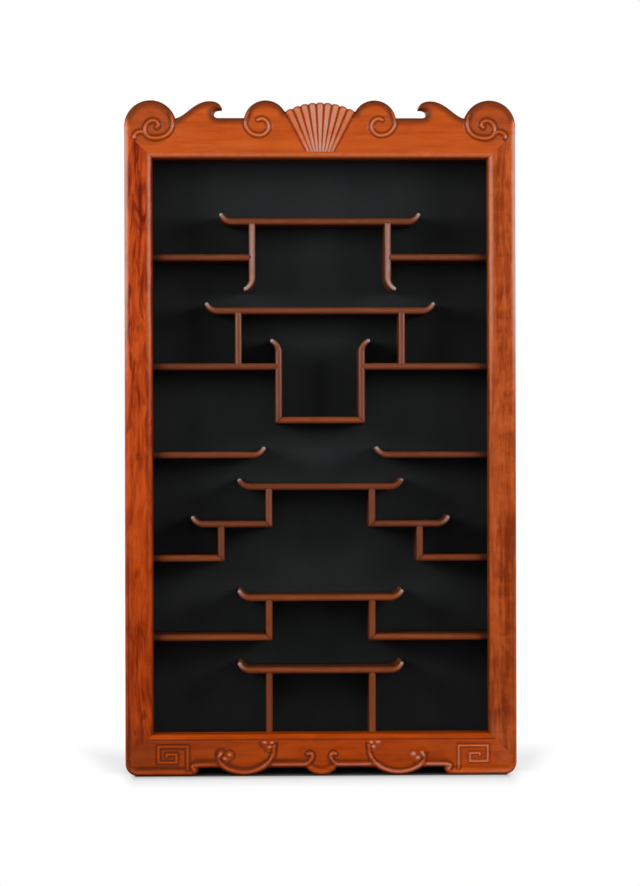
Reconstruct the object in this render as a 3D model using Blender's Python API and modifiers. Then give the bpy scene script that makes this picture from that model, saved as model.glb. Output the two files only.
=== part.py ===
"""Open-fronted display cabinet for snuff bottles: carved front frame, shallow case and stepped shelves.

Metres, +Z up, the front faces -Y. The origin is the middle of the footprint, on the floor.
"""
import math
from dataclasses import dataclass, field

import bmesh
import bpy
from mathutils import Vector

MM = 0.001
NAME = "snuff_bottle_display_cabinet"

# Overall sizes and clearances
WIDTH = 464.0 * MM
HEIGHT = 800.0 * MM
FRAME_THICKNESS = 20.0 * MM
CASE_DEPTH = 72.0 * MM
RELIEF = 3.0 * MM
GAP = 0.3 * MM

# Front frame
STILE_WIDTH = 33.0 * MM
SILL_HEIGHT = 50.0 * MM
HEAD_HEIGHT = 731.0 * MM
MITRE_RISE_TOP = STILE_WIDTH
OUTER_ROUND = 6.0 * MM
BEAD_RADIUS = 3.0 * MM
QUIRK_WIDTH = 1.2 * MM
TENON_WIDTH = 15.0 * MM
TENON_THICKNESS = 7.0 * MM
TENON_LENGTH = 16.0 * MM

# Crest carving
CREST_SHOULDER = 779.0 * MM
CORNER_VOLUTE = 31.0 * MM
CORNER_TURN = (17.2 * MM, 8.4 * MM)
WAVE_FOOT = 171.5 * MM
WAVE_PEAK = 131.0 * MM
BEAK_TIP = 116.0 * MM
BEAK_DROP = 9.5 * MM
INNER_VOLUTE = 26.0 * MM
INNER_VOLUTE_X = 64.5 * MM
INNER_TURN = (16.0 * MM, 8.0 * MM)
FAN_APEX = 709.0 * MM
FAN_RADIUS = 88.0 * MM
FAN_START = 31.5 * MM
FAN_HALF_ANGLE = math.radians(28.3)
FAN_RIBS = 9
RELIEF_BEAD = 2.0 * MM

# Apron carving
APRON_EDGE = 9.0 * MM
CORNER_ROUND = 15.0 * MM
FOOT_INNER = 145.5 * MM
FOOT_END_ROUND = 8.5 * MM
CRESCENT_X = 91.9 * MM
CRESCENT_HALF = 28.3 * MM
LOBE_HALF = 18.5 * MM
FRET_OUTER = 198.5 * MM
FRET_INNER = 162.0 * MM
FRET_TOP = 34.5 * MM
FRET_BOTTOM = 14.5 * MM
FRET_PITCH = 12.0 * MM

# Case
BOARD = 12.0 * MM
CASE_INSET = 2.0 * MM
LIP = 6.0 * MM
SIDE_HOUSING = 5.0 * MM
REBATE = 8.0 * MM
BACK_THICKNESS = 6.0 * MM
LINING_THICKNESS = 1.6 * MM
TONGUE_LENGTH = 5.0 * MM
TONGUE_THICKNESS = 3.6 * MM
TONGUE_MARGIN = 14.0 * MM

# Back screws
SCREW_HEAD = 3.2 * MM
SCREW_HEAD_DEPTH = 2.2 * MM
SCREW_SHANK = 1.5 * MM
SCREW_LENGTH = 16.0 * MM
SCREW_SLOT = 0.8 * MM

# Shelves and uprights
SHELF = 8.0 * MM
SHELF_SETBACK = 1.0 * MM
SHELF_HOUSING = 2.5 * MM
SHELF_ROUND = 2.0 * MM
CURL_RADIUS = 15.0 * MM
CURL_ANGLE = math.radians(60.0)
CURL_TIP = 5.0 * MM

# Heights of the shelf undersides, from the top down
ROOF_Z = 654.0 * MM
UPPER_WING_Z = 611.0 * MM
BRIDGE_Z = 547.5 * MM
TRAY_WING_Z = 481.0 * MM
TRAY_Z = 417.0 * MM
LEDGE_Z = 375.5 * MM
MIDDLE_ROOF_Z = 337.5 * MM
STEP_Z = 293.0 * MM
LOWER_WING_Z = 252.5 * MM
LOWER_ROOF_Z = 205.0 * MM
BASE_WING_Z = 158.0 * MM
BASE_ROOF_Z = 118.5 * MM

# Distances of shelf tips and uprights from the middle
ROOF_TIP = 120.0 * MM
ROOF_LEG_X = 81.0 * MM
ROOF_LEG_FOOT = 575.5 * MM
BRIDGE_TIP = 137.3 * MM
BRIDGE_POST_X = 97.5 * MM
TRAY_SIDE_X = 49.5 * MM
TRAY_SIDE_TOP = 518.0 * MM
LEDGE_TIP = 65.2 * MM
CANOPY_TIP = 99.0 * MM
UPRIGHT_X = 61.5 * MM
STEP_TIP = 154.5 * MM
STEP_UPRIGHT_X = 118.5 * MM

# Planes that follow from the sizes above
DEPTH = RELIEF + FRAME_THICKNESS + CASE_DEPTH
FACE_Y = RELIEF - DEPTH / 2
FRAME_BACK_Y = FACE_Y + FRAME_THICKNESS
CASE_FRONT_Y = FRAME_BACK_Y + GAP
BACK_Y = DEPTH / 2
BACK_BOARD_Y = BACK_Y - BACK_THICKNESS
LINING_Y = BACK_BOARD_Y - GAP - LINING_THICKNESS
SHELF_FRONT_Y = CASE_FRONT_Y + SHELF_SETBACK
SHELF_BACK_Y = LINING_Y - GAP
HALF = WIDTH / 2
OPENING_HALF = HALF - STILE_WIDTH
SIDE_OUTER = HALF - CASE_INSET
SIDE_INNER = SIDE_OUTER - BOARD
FLOOR_Z = SILL_HEIGHT - LIP
CEILING_Z = HEAD_HEIGHT + LIP
CASE_TOP_Z = CEILING_Z + BOARD
BACK_BOTTOM_Z = 2.0 * MM

HOUSED_LEVELS = (UPPER_WING_Z, TRAY_WING_Z, LEDGE_Z, LOWER_WING_Z, BASE_WING_Z)
SIDES = (("left", -1.0), ("right", 1.0))

WOOD = ((0.30, 0.062, 0.016), 0.38, 0.0)
SHELF_WOOD = ((0.24, 0.058, 0.018), 0.42, 0.0)
CASE_WOOD = ((0.20, 0.05, 0.017), 0.5, 0.0)
CLOTH = ((0.008, 0.008, 0.009), 0.95, 0.0)
BRASS = ((0.56, 0.38, 0.13), 0.35, 1.0)

parts = None
cutters = None


def clear_scene():
    """Remove every object and set up the two collections."""
    global parts, cutters
    for obj in list(bpy.data.objects):
        bpy.data.objects.remove(obj, do_unlink=True)
    parts = bpy.data.collections.new(NAME)
    cutters = bpy.data.collections.new("cutters")
    for group in (parts, cutters):
        bpy.context.scene.collection.children.link(group)


def material_for(name, finish):
    """Return a Principled material with the colour, roughness and metallic of a finish."""
    colour, roughness, metallic = finish
    mat = bpy.data.materials.new(name)
    mat.use_nodes = True
    shader = mat.node_tree.nodes["Principled BSDF"]
    shader.inputs["Base Color"].default_value = (*colour, 1.0)
    shader.inputs["Roughness"].default_value = roughness
    shader.inputs["Metallic"].default_value = metallic
    return mat


def place(name, data, location=(0, 0, 0), rotation=(0, 0, 0), finish=None):
    """Link a piece, or a cutter where no finish is given."""
    obj = bpy.data.objects.new(name, data)
    obj.location = location
    obj.rotation_euler = rotation
    if finish is None:
        cutters.objects.link(obj)
        obj.hide_render = True
        obj.display_type = "WIRE"
    else:
        parts.objects.link(obj)
        obj.data.materials.append(material_for(name, finish))
    return obj


def meshed(curve, name):
    """Turn curve data into a closed mesh with flat many-sided faces."""
    holder = bpy.data.objects.new(name + "_curve", curve)
    bpy.context.scene.collection.objects.link(holder)
    graph = bpy.context.evaluated_depsgraph_get()
    mesh = bpy.data.meshes.new_from_object(holder.evaluated_get(graph))
    bpy.data.objects.remove(holder, do_unlink=True)
    work = bmesh.new()
    work.from_mesh(mesh)
    bmesh.ops.remove_doubles(work, verts=work.verts, dist=1e-6)
    bmesh.ops.dissolve_limit(work, angle_limit=1e-4, verts=work.verts, edges=work.edges)
    bmesh.ops.recalc_face_normals(work, faces=work.faces)
    work.to_mesh(mesh)
    work.free()
    mesh.name = name
    return mesh


def flat_mesh(name, outline, thickness):
    """Mesh of a flat outline given in the local XY plane, thickened evenly along local Z."""
    curve = bpy.data.curves.new(name, "CURVE")
    curve.dimensions = "2D"
    curve.fill_mode = "BOTH"
    curve.extrude = thickness / 2
    spline = curve.splines.new("POLY")
    spline.points.add(len(outline) - 1)
    for point, (u, v) in zip(spline.points, outline):
        point.co = (u, v, 0.0, 1.0)
    spline.use_cyclic_u = True
    return meshed(curve, name)


def facing(name, outline, front, back, finish=None, at=(0.0, 0.0)):
    """A piece whose outline is seen from the front, reaching from one depth to another."""
    mesh = flat_mesh(name, outline, back - front)
    return place(name, mesh, (at[0], (front + back) / 2, at[1]), (math.pi / 2, 0, 0), finish)


def block(name, low, high, finish=None):
    """A rectangular piece between two opposite corners."""
    outline = [(low[0], low[2]), (high[0], low[2]), (high[0], high[2]), (low[0], high[2])]
    middle = ((low[0] + high[0]) / 2, (low[2] + high[2]) / 2)
    local = [(x - middle[0], z - middle[1]) for x, z in outline]
    return facing(name, local, low[1], high[1], finish, middle)


def cut(obj, cutter, operation="DIFFERENCE"):
    """Add an exact Boolean with one object or a whole collection."""
    mod = obj.modifiers.new(operation.title(), "BOOLEAN")
    mod.operation = operation
    mod.solver = "EXACT"
    if isinstance(cutter, bpy.types.Collection):
        mod.operand_type = "COLLECTION"
        mod.collection = cutter
    else:
        mod.object = cutter
    return obj


def cutter_group(name, objects):
    """Gather cutters so that one Boolean takes them all."""
    group = bpy.data.collections.new(name)
    cutters.children.link(group)
    for obj in objects:
        cutters.objects.unlink(obj)
        group.objects.link(obj)
    return group


def arc(centre, radius, start, end, count):
    """Points along a circular arc, with angles in degrees."""
    steps = [math.radians(start + (end - start) * i / count) for i in range(count + 1)]
    return [(centre[0] + radius * math.cos(a), centre[1] + radius * math.sin(a)) for a in steps]


def bend(p0, p1, p2, p3, count):
    """Points along a cubic curve after its first point."""
    out = []
    for i in range(1, count + 1):
        t = i / count
        s = 1 - t
        weights = (s ** 3, 3 * s * s * t, 3 * s * t * t, t ** 3)
        out.append(tuple(sum(w * p[k] for w, p in zip(weights, (p0, p1, p2, p3))) for k in (0, 1)))
    return out


def mirrored(points):
    """The same points on the other side of the middle, in reverse order."""
    return [(-x, z) for x, z in reversed(points)]


def tube(name, points, radius, depth_y):
    """A round bead along a path seen from the front, used to raise carving from a face."""
    curve = bpy.data.curves.new(name, "CURVE")
    curve.dimensions = "3D"
    curve.bevel_depth = radius
    curve.bevel_resolution = 1
    curve.use_fill_caps = True
    spline = curve.splines.new("POLY")
    spline.points.add(len(points) - 1)
    for point, (x, z) in zip(spline.points, points):
        point.co = (x, depth_y, z, 1.0)
    return place(name, meshed(curve, name))


def curl_end(tip, sign, side):
    """End of a strip that sweeps up (side 1) or down (side -1) into a slimmer round tip.

    sign is 1 at the far end of the strip and -1 at its near end. Points run from the
    lower side to the upper side at the far end.
    """
    start = tip - sign * (CURL_RADIUS * math.sin(CURL_ANGLE) + CURL_TIP / 2)
    near, away = [], []
    count = 5
    for i in range(count + 1):
        a = CURL_ANGLE * i / count
        half = (SHELF + (CURL_TIP - SHELF) * i / count) / 2
        u = CURL_RADIUS * math.sin(a)
        v = CURL_RADIUS * (1 - math.cos(a))
        away.append((u + half * math.sin(a), v - half * math.cos(a)))
        near.append((u - half * math.sin(a), v + half * math.cos(a)))
    centre = (CURL_RADIUS * math.sin(CURL_ANGLE), CURL_RADIUS * (1 - math.cos(CURL_ANGLE)))
    spread = math.degrees(CURL_ANGLE)
    cap = arc(centre, CURL_TIP / 2, spread - 90, spread + 90, 5)[1:-1]
    ring = away + cap + near[::-1]
    points = [(start + sign * u, side * v) for u, v in ring]
    return points if side > 0 else points[::-1]


def cut_end(low_u, high_u, thickness=SHELF):
    """Plain or slanted end: where it meets the lower side and the upper side of a strip."""
    return [(low_u, -thickness / 2), (high_u, thickness / 2)]


@dataclass
class Strip:
    """A shelf, upright or board: two ends, and housings cut in its lower and upper sides.

    near and far list the end points from the lower to the upper side; near is reversed on use.
    below and above list housings as (middle, width, depth).
    """
    near: list
    far: list
    below: list = field(default_factory=list)
    above: list = field(default_factory=list)
    thickness: float = SHELF

    def run(self, housings, side):
        points = []
        level = side * self.thickness / 2
        for middle, width, depth in sorted(housings):
            floor = level - side * depth
            points += [(middle - width / 2, level), (middle - width / 2, floor)]
            points += [(middle + width / 2, floor), (middle + width / 2, level)]
        return points

    def outline(self):
        upper = self.run(self.above, 1)[::-1]
        return self.run(self.below, -1) + self.far + upper + self.near[::-1]


def housing(middle):
    """Housing for the end of a strip of shelf thickness."""
    return (middle, SHELF + 2 * GAP, SHELF_HOUSING + GAP)


def round_front(obj, thickness, along, sweep_from, sweep_to):
    """Round the front edges of a strip's faces and swept tips; housed and mitred ends stay square."""
    mesh = obj.data
    work = bmesh.new()
    work.from_mesh(mesh)
    layer = work.edges.layers.float.new("bevel_weight_edge")
    front = max(v.co.z for v in work.verts)
    for edge in work.edges:
        if any(abs(v.co.z - front) > 1e-7 for v in edge.verts):
            continue
        middle = (edge.verts[0].co + edge.verts[1].co) / 2
        flush = abs(abs(middle[1 - along]) - thickness / 2) < 1e-6
        if flush or not sweep_from < middle[along] < sweep_to:
            edge[layer] = 1.0
    work.to_mesh(mesh)
    work.free()
    mod = obj.modifiers.new("Rounded front", "BEVEL")
    mod.limit_method = "WEIGHT"
    mod.width = SHELF_ROUND
    mod.segments = 2


def strip_piece(name, strip, at, upright=0.0, sweep=(None, None), finish=SHELF_WOOD):
    """Place a strip as a shelf, or as an upright whose upper side faces the given way along X."""
    outline = strip.outline()
    if upright:
        outline = [(upright * v, u) for u, v in outline]
    obj = facing(name, outline, SHELF_FRONT_Y, SHELF_BACK_Y, finish, at)
    run = math.sin(CURL_ANGLE) * CURL_RADIUS + CURL_TIP / 2
    sweep_from = -WIDTH if sweep[0] is None else sweep[0] + run
    sweep_to = HEIGHT if sweep[1] is None else sweep[1] - run
    round_front(obj, strip.thickness, 1 if upright else 0, sweep_from, sweep_to)
    return obj


def roof_shelf(name, tip, underside, uprights):
    """Shelf with both tips swept up, carried on uprights housed in its underside."""
    strip = Strip(curl_end(-tip, -1, 1), curl_end(tip, 1, 1), below=[housing(x) for x in uprights])
    return strip_piece(name, strip, (0.0, underside + SHELF / 2), sweep=(-tip, tip))


def wing_shelf(name, side, underside, inner_low, inner_high, above=(), below=()):
    """Shelf housed in a case side; its inner end is given at its lower and upper faces."""
    wall = SIDE_INNER + SIDE_HOUSING
    near = cut_end(inner_low, inner_high)
    strip = Strip(near, cut_end(wall, wall), [housing(x) for x in below], [housing(x) for x in above])
    turned = Strip([(-u, v) for u, v in strip.far], [(-u, v) for u, v in strip.near],
                   [(-m, w, d) for m, w, d in strip.below], [(-m, w, d) for m, w, d in strip.above])
    return strip_piece(name, strip if side > 0 else turned, (0.0, underside + SHELF / 2))


def upright(name, side, x, near, far, below=(), above=(), sweep=(None, None)):
    """Standing strip; its upper side faces outwards."""
    strip = Strip(near, far, list(below), list(above))
    return strip_piece(name, strip, (side * x, 0.0), upright=side, sweep=sweep)


def bead_profile():
    """Section of the beaded edge: distance in from the edge, and depth behind the face."""
    bead = arc((BEAD_RADIUS, BEAD_RADIUS), BEAD_RADIUS, 180, 340, 6)
    return bead + [(2 * BEAD_RADIUS + QUIRK_WIDTH, 0.0)]


def stile(name, side):
    """Upright of the front frame: rounded outer edge, beaded inner edge, mitres and two tenons."""
    profile = [(OPENING_HALF + u, FACE_Y + d) for u, d in bead_profile()]
    rounding = arc((HALF - OUTER_ROUND, FACE_Y + OUTER_ROUND), OUTER_ROUND, -90, 0, 4)
    section = profile + rounding + [(HALF, FRAME_BACK_Y), (OPENING_HALF, FRAME_BACK_Y)]
    low = SILL_HEIGHT - STILE_WIDTH
    high = HEAD_HEIGHT + MITRE_RISE_TOP
    mesh = flat_mesh(name, [(side * x, y) for x, y in section], high - low)
    obj = place(name, mesh, (0.0, 0.0, (low + high) / 2), finish=WOOD)
    for label, line in (("head", head_mitre(side, -GAP / 2)), ("sill", sill_mitre(side, GAP / 2))):
        cut(obj, facing(f"{name}_{label}_mitre", line, FACE_Y - 0.01, FRAME_BACK_Y + 0.01))
    middle = side * (HALF - STILE_WIDTH / 2)
    y = (FACE_Y + FRAME_BACK_Y) / 2
    half = Vector((TENON_WIDTH / 2, TENON_THICKNESS / 2, 0.0))
    for label, base, reach in (("head", head_shoulder(), 1.0), ("sill", sill_shoulder(), -1.0)):
        ends = sorted((base - reach * TENON_LENGTH, base + reach * TENON_LENGTH))
        low_corner = (middle - half.x, y - half.y, ends[0])
        high_corner = (middle + half.x, y + half.y, ends[1])
        cut(obj, block(f"{name}_{label}_tenon", low_corner, high_corner), "UNION")
    wide = TONGUE_THICKNESS / 2 + GAP
    x = side * tongue_x()
    groove = block(f"{name}_groove", (x - wide, FRAME_BACK_Y - TONGUE_LENGTH - GAP, tongue_low() - GAP),
                   (x + wide, FRAME_BACK_Y + 0.01, tongue_high() + GAP))
    return cut(obj, groove)


def tongue_x():
    """Distance of the case tongues from the middle, outside the floors of the shelf housings."""
    return SIDE_OUTER - BOARD / 2 + TONGUE_THICKNESS / 2 + GAP


def tongue_low():
    return SILL_HEIGHT + TONGUE_MARGIN


def tongue_high():
    return HEAD_HEIGHT - TONGUE_MARGIN


def head_shoulder():
    """Height of the upper mitre in the middle of a stile."""
    return HEAD_HEIGHT + MITRE_RISE_TOP / 2


def sill_shoulder():
    """Height of the lower mitre in the middle of a stile."""
    return SILL_HEIGHT - STILE_WIDTH / 2


def mitre_region(side, inner, outer, shift, away):
    """Area beyond a mitre line, which is carried on past both of its ends."""
    along = (Vector(outer) - Vector(inner)) * 0.3
    first = Vector(inner) - along + Vector((0, shift))
    last = Vector(outer) + along + Vector((0, shift))
    far = Vector((0, away))
    return [(side * p.x, p.y) for p in (first, last, last + far, first + far)]


def head_mitre(side, shift, away=0.08):
    inner = (OPENING_HALF, HEAD_HEIGHT)
    return mitre_region(side, inner, (HALF, HEAD_HEIGHT + MITRE_RISE_TOP), shift, away)


def sill_mitre(side, shift, away=-0.08):
    return mitre_region(side, (OPENING_HALF, SILL_HEIGHT), (HALF, SILL_HEIGHT - STILE_WIDTH), shift, away)


def stile_space(side):
    """Area in front view that belongs to a stile, with its share of the mitre gaps."""
    head_in = Vector((OPENING_HALF, HEAD_HEIGHT + GAP / 2))
    head_out = Vector((HALF, HEAD_HEIGHT + MITRE_RISE_TOP + GAP / 2))
    sill_in = Vector((OPENING_HALF, SILL_HEIGHT - GAP / 2))
    sill_out = Vector((HALF, SILL_HEIGHT - STILE_WIDTH - GAP / 2))
    top = head_in.lerp(head_out, 1.3)
    low = sill_in.lerp(sill_out, 1.3)
    return [(side * p.x, p.y) for p in (head_in, top, low, sill_in)]


def finish_rail(obj, edge, inwards, shoulder, reach):
    """Cut a rail's beaded edge, its mitres and the mortises for the stile tenons."""
    front = FACE_Y - 0.02
    profile = [(FACE_Y + d, edge + inwards * u) for u, d in bead_profile()]
    beyond = edge - inwards * 0.01
    profile += [(front, profile[-1][1]), (front, beyond), (profile[0][0], beyond)]
    mesh = flat_mesh(obj.name + "_bead", profile, WIDTH * 1.2)
    bead = place(obj.name + "_bead", mesh, rotation=(math.pi / 2, 0, math.pi / 2))
    cut(obj, bead)
    middle_y = (FACE_Y + FRAME_BACK_Y) / 2
    for label, side in SIDES:
        cut(obj, facing(f"{obj.name}_{label}_stile", stile_space(side), front, FRAME_BACK_Y + 0.01))
        x = side * (HALF - STILE_WIDTH / 2)
        wide = TENON_WIDTH / 2 + GAP
        thick = TENON_THICKNESS / 2 + GAP
        ends = sorted((shoulder - reach * STILE_WIDTH, shoulder + reach * (TENON_LENGTH + GAP)))
        cut(obj, block(f"{obj.name}_{label}_mortise", (x - wide, middle_y - thick, ends[0]),
                       (x + wide, middle_y + thick, ends[1])))
    return obj


def crest_outline():
    """Front view of the crest rail: corner volute, breaking wave, level shoulder, inner volute, fan."""
    corner = (-HALF + CORNER_VOLUTE, HEIGHT - CORNER_VOLUTE)
    valley = math.degrees(math.acos((-WAVE_FOOT - corner[0]) / CORNER_VOLUTE))
    points = [(-HALF, HEAD_HEIGHT)] + arc(corner, CORNER_VOLUTE, 180, valley, 12)
    top = HEIGHT - 1.0 * MM
    foot = points[-1]
    rise = top - foot[1]
    peak = (-WAVE_PEAK, top)
    span = WAVE_FOOT - WAVE_PEAK
    lift = (foot[0] + 0.3 * span, foot[1] + 0.1 * rise)
    points += bend(foot, lift, (peak[0] - 0.45 * span, top), peak, 7)
    tip = (-BEAK_TIP, top - BEAK_DROP)
    hook = WAVE_PEAK - BEAK_TIP
    brow = (tip[0] - 0.1 * hook, tip[1] + 0.6 * BEAK_DROP)
    points += bend(peak, (peak[0] + 0.6 * hook, top), brow, tip, 5)
    throat = (tip[0] - 0.65 * hook, (tip[1] + CREST_SHOULDER) / 2 - 1.0 * MM)
    landing = (tip[0] - 0.3 * hook, CREST_SHOULDER)
    under = (tip[0] - 0.2 * hook, tip[1] - 1.0 * MM)
    points += bend(tip, under, (throat[0], tip[1] + 1.0 * MM), throat, 4)
    points += bend(throat, (throat[0], CREST_SHOULDER + 1.5 * MM), (throat[0] + 1.5 * MM, CREST_SHOULDER),
                   landing, 4)
    inner = (-INNER_VOLUTE_X, HEIGHT - INNER_VOLUTE)
    begin = 180 - math.degrees(math.asin((CREST_SHOULDER - inner[1]) / INNER_VOLUTE))
    half_fan = FAN_RADIUS * math.sin(FAN_HALF_ANGLE)
    finish = math.degrees(math.acos((INNER_VOLUTE_X - half_fan) / INNER_VOLUTE))
    points += arc(inner, INNER_VOLUTE, begin, finish, 12)
    side = math.degrees(FAN_HALF_ANGLE)
    fan = arc((0.0, FAN_APEX), FAN_RADIUS - 2.0 * MM, 90 + side, 90, 6)
    points += fan[1:-1]
    return points + [fan[-1]] + mirrored(points)


def spiral(centre, first, turns, way, steps=9):
    """Half circles of falling radius that follow one another, starting on the level of the centre.

    way is 1 where the scroll winds in from the right and -1 where it winds in from the left.
    """
    points = []
    edge = centre[0] + way * first
    lower = True
    heading = way
    for radius in turns:
        middle = (edge - heading * radius, centre[1])
        start = 0 if heading > 0 else 180
        sweep = -180 if (heading > 0) == lower else 180
        points += arc(middle, radius, start, start + sweep, steps)[(1 if points else 0):]
        edge -= heading * 2 * radius
        heading = -heading
        lower = not lower
    return points


def rib(name, angle):
    """One tapered round rib of the fan, leaning out of the face towards its top."""
    taper = math.tan(FAN_HALF_ANGLE / FAN_RIBS) * 1.06
    start = FAN_START / math.cos(angle)
    length = FAN_RADIUS - start
    small = start * taper
    large = FAN_RADIUS * taper
    mesh = bpy.data.meshes.new(name)
    work = bmesh.new()
    bmesh.ops.create_cone(work, cap_ends=True, segments=12, radius1=small, radius2=large, depth=length)
    work.to_mesh(mesh)
    work.free()
    near = Vector((0.0, FACE_Y + 0.2 * MM, start))
    away = Vector((0.0, FACE_Y - RELIEF + large, FAN_RADIUS))
    tilt = math.atan2(away.y - near.y, length)
    middle = (near + away) / 2
    location = (middle.z * math.sin(angle), middle.y, FAN_APEX + middle.z * math.cos(angle))
    return place(name, mesh, location, (-tilt, angle, 0.0))


def crest_rail():
    """Top rail of the frame with volutes, waves and fan."""
    name = "crest_rail"
    obj = facing(name, crest_outline(), FACE_Y, FRAME_BACK_Y, WOOD)
    raised = []
    for i in range(FAN_RIBS):
        angle = FAN_HALF_ANGLE * (2 * i + 1 - FAN_RIBS) / FAN_RIBS
        raised.append(rib(f"fan_rib_{i}", angle))
    depth = FACE_Y + 0.1 * MM
    for label, side in SIDES:
        corner = (-HALF + CORNER_VOLUTE, HEIGHT - CORNER_VOLUTE)
        outer = spiral(corner, CORNER_VOLUTE - RELIEF_BEAD, CORNER_TURN, 1)
        inner_centre = (-INNER_VOLUTE_X, HEIGHT - INNER_VOLUTE)
        inner = spiral(inner_centre, INNER_VOLUTE - RELIEF_BEAD - 0.5 * MM, INNER_TURN, -1)
        for kind, path in (("corner", outer), ("inner", inner)):
            turned = [(-side * x, z) for x, z in path]
            raised.append(tube(f"{label}_{kind}_scroll", turned, RELIEF_BEAD, depth))
    finish_rail(obj, HEAD_HEIGHT, 1.0, head_shoulder(), 1.0)
    return cut(obj, cutter_group("crest_carving", raised), "UNION")


def sag(half, drop):
    """Radius of the arc that drops by a height over a half width."""
    return (half * half + drop * drop) / (2 * drop)


def apron_outline():
    """Front view of the lower rail: rounded corners, feet, level edges, crescents and middle lobe."""
    points = [(-HALF, SILL_HEIGHT)]
    points += arc((-HALF + CORNER_ROUND, CORNER_ROUND), CORNER_ROUND, 180, 270, 5)
    points += arc((-FOOT_INNER - FOOT_END_ROUND, FOOT_END_ROUND), FOOT_END_ROUND, 270, 360, 5)
    points.append((-FOOT_INNER, APRON_EDGE))
    for middle, half, whole in ((-CRESCENT_X, CRESCENT_HALF, True), (0.0, LOBE_HALF, False)):
        radius = sag(half, APRON_EDGE)
        spread = math.degrees(math.asin(half / radius))
        last = 270 + spread if whole else 270
        points += arc((middle, radius), radius, 270 - spread, last, 10 if whole else 5)
    return points + mirrored(points[:-1])


def apron_paths(side):
    """Raised lines on one half of the lower rail: fret, crescent and the curl beside the middle lobe."""
    fret = [(FRET_INNER, 2 * RELIEF_BEAD), (FRET_INNER, FRET_TOP), (FRET_OUTER, FRET_TOP)]
    fret += [(FRET_OUTER, FRET_BOTTOM), (FRET_INNER + FRET_PITCH, FRET_BOTTOM)]
    turn_z = FRET_TOP - 0.55 * FRET_PITCH
    fret += [(FRET_INNER + FRET_PITCH, turn_z), (FRET_OUTER - FRET_PITCH, turn_z)]
    radius = sag(CRESCENT_HALF, APRON_EDGE)
    inset = radius - 1.6 * RELIEF_BEAD
    low, high = CRESCENT_X + CRESCENT_HALF, CRESCENT_X - CRESCENT_HALF
    spread = math.degrees(math.asin(CRESCENT_HALF / radius)) * 0.8
    bowl = arc((CRESCENT_X, radius), inset, 270 + spread, 270 - spread, 8)
    small = (low - 5.0 * MM, bowl[0][1] + 12.0 * MM)
    tall = (high - 6.0 * MM, SILL_HEIGHT - 4 * BEAD_RADIUS - 2.0 * MM)
    first = bowl[0]
    last = bowl[-1]
    crescent = [small]
    crescent += bend(small, (low + 5 * MM, small[1] + MM), (low + 3 * MM, first[1] + 4 * MM), first, 5)
    crescent += bowl[1:]
    rising = (last[0] - 7 * MM, last[1] + 5 * MM)
    crescent += bend(last, rising, (tall[0] - 2 * MM, tall[1] - 14 * MM), tall, 5)
    crescent += bend(tall, (tall[0] + 2 * MM, tall[1] + 5 * MM), (tall[0] + 9 * MM, tall[1] + 2 * MM),
                     (tall[0] + 7 * MM, tall[1] - 3 * MM), 5)
    start = (LOBE_HALF + 5.5 * MM, APRON_EDGE + 2 * RELIEF_BEAD)
    waist = (LOBE_HALF - 7.7 * MM, APRON_EDGE + 13.0 * MM)
    tip = (LOBE_HALF - 2.0 * MM, APRON_EDGE + 16.0 * MM)
    lobe = [start] + bend(start, (start[0] - 8 * MM, start[1]), (waist[0], waist[1] - 6 * MM), waist, 4)
    lobe += bend(waist, (waist[0], waist[1] + 5 * MM), (tip[0] - MM, tip[1] + 3 * MM), tip, 4)
    return [(label, [(side * x, z) for x, z in path])
            for label, path in (("fret", fret), ("crescent", crescent), ("lobe", lobe))]


def apron_rail():
    """Bottom rail of the frame with feet, crescents and frets."""
    obj = facing("apron_rail", apron_outline(), FACE_Y, FRAME_BACK_Y, WOOD)
    raised = []
    for label, side in SIDES:
        for kind, path in apron_paths(side):
            raised.append(tube(f"{label}_{kind}", path, RELIEF_BEAD, FACE_Y + 0.1 * MM))
    finish_rail(obj, SILL_HEIGHT, -1.0, sill_shoulder(), -1.0)
    return cut(obj, cutter_group("apron_carving", raised), "UNION")


def screw_places():
    """Back screws: between the shelves on both sides, and in the middle of the top and bottom boards."""
    levels = sorted((FLOOR_Z, CEILING_Z) + HOUSED_LEVELS)
    heights = [(levels[i] + levels[i + 1]) / 2 + SHELF / 2 for i in (0, 2, 4, 5)]
    places = []
    for label, side in SIDES:
        for i, z in enumerate(heights):
            places.append((f"back_screw_{label}_{i + 1}", side * (SIDE_INNER + REBATE / 2), z))
    places.append(("back_screw_top", 0.0, CASE_TOP_Z - BOARD / 2))
    places.append(("back_screw_bottom", 0.0, FLOOR_Z - BOARD / 2))
    return places


def turned_screw(name, grow, head_rise, finish=None):
    """Countersunk screw turned about its axis; grown evenly, it is the hole that the screw fits."""
    head = SCREW_HEAD + grow
    shank = SCREW_SHANK + grow
    end = SCREW_LENGTH + grow
    profile = [(0.0, -head_rise), (head, -head_rise), (head, grow * 0.5 + 0.2 * MM)]
    profile += [(shank, SCREW_HEAD_DEPTH + grow), (shank, end - 2.0 * MM), (0.0, end)]
    mesh = bpy.data.meshes.new(name)
    edges = [(i, i + 1) for i in range(len(profile) - 1)]
    mesh.from_pydata([(r, 0.0, z) for r, z in profile], edges, [])
    obj = place(name, mesh, finish=finish)
    obj.rotation_euler = (math.pi / 2, 0.0, 0.0)
    turn = obj.modifiers.new("Turned", "SCREW")
    turn.axis = "Z"
    turn.steps = 12
    turn.render_steps = 12
    turn.use_merge_vertices = True
    turn.merge_threshold = 0.00001
    turn.use_normal_calculate = True
    return obj


def side_foot():
    """Lower end of a case side: its outer edge is chamfered to stay behind the round corner of the foot."""
    reach = CORNER_ROUND - CASE_INSET
    rise = CORNER_ROUND - math.sqrt(CORNER_ROUND ** 2 - reach ** 2)
    inner = max(HALF - CORNER_ROUND, SIDE_INNER + 2.0 * MM)
    half = BOARD / 2
    return [(rise, -half), (0.0, SIDE_OUTER - half - inner), (0.0, half)]


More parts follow.
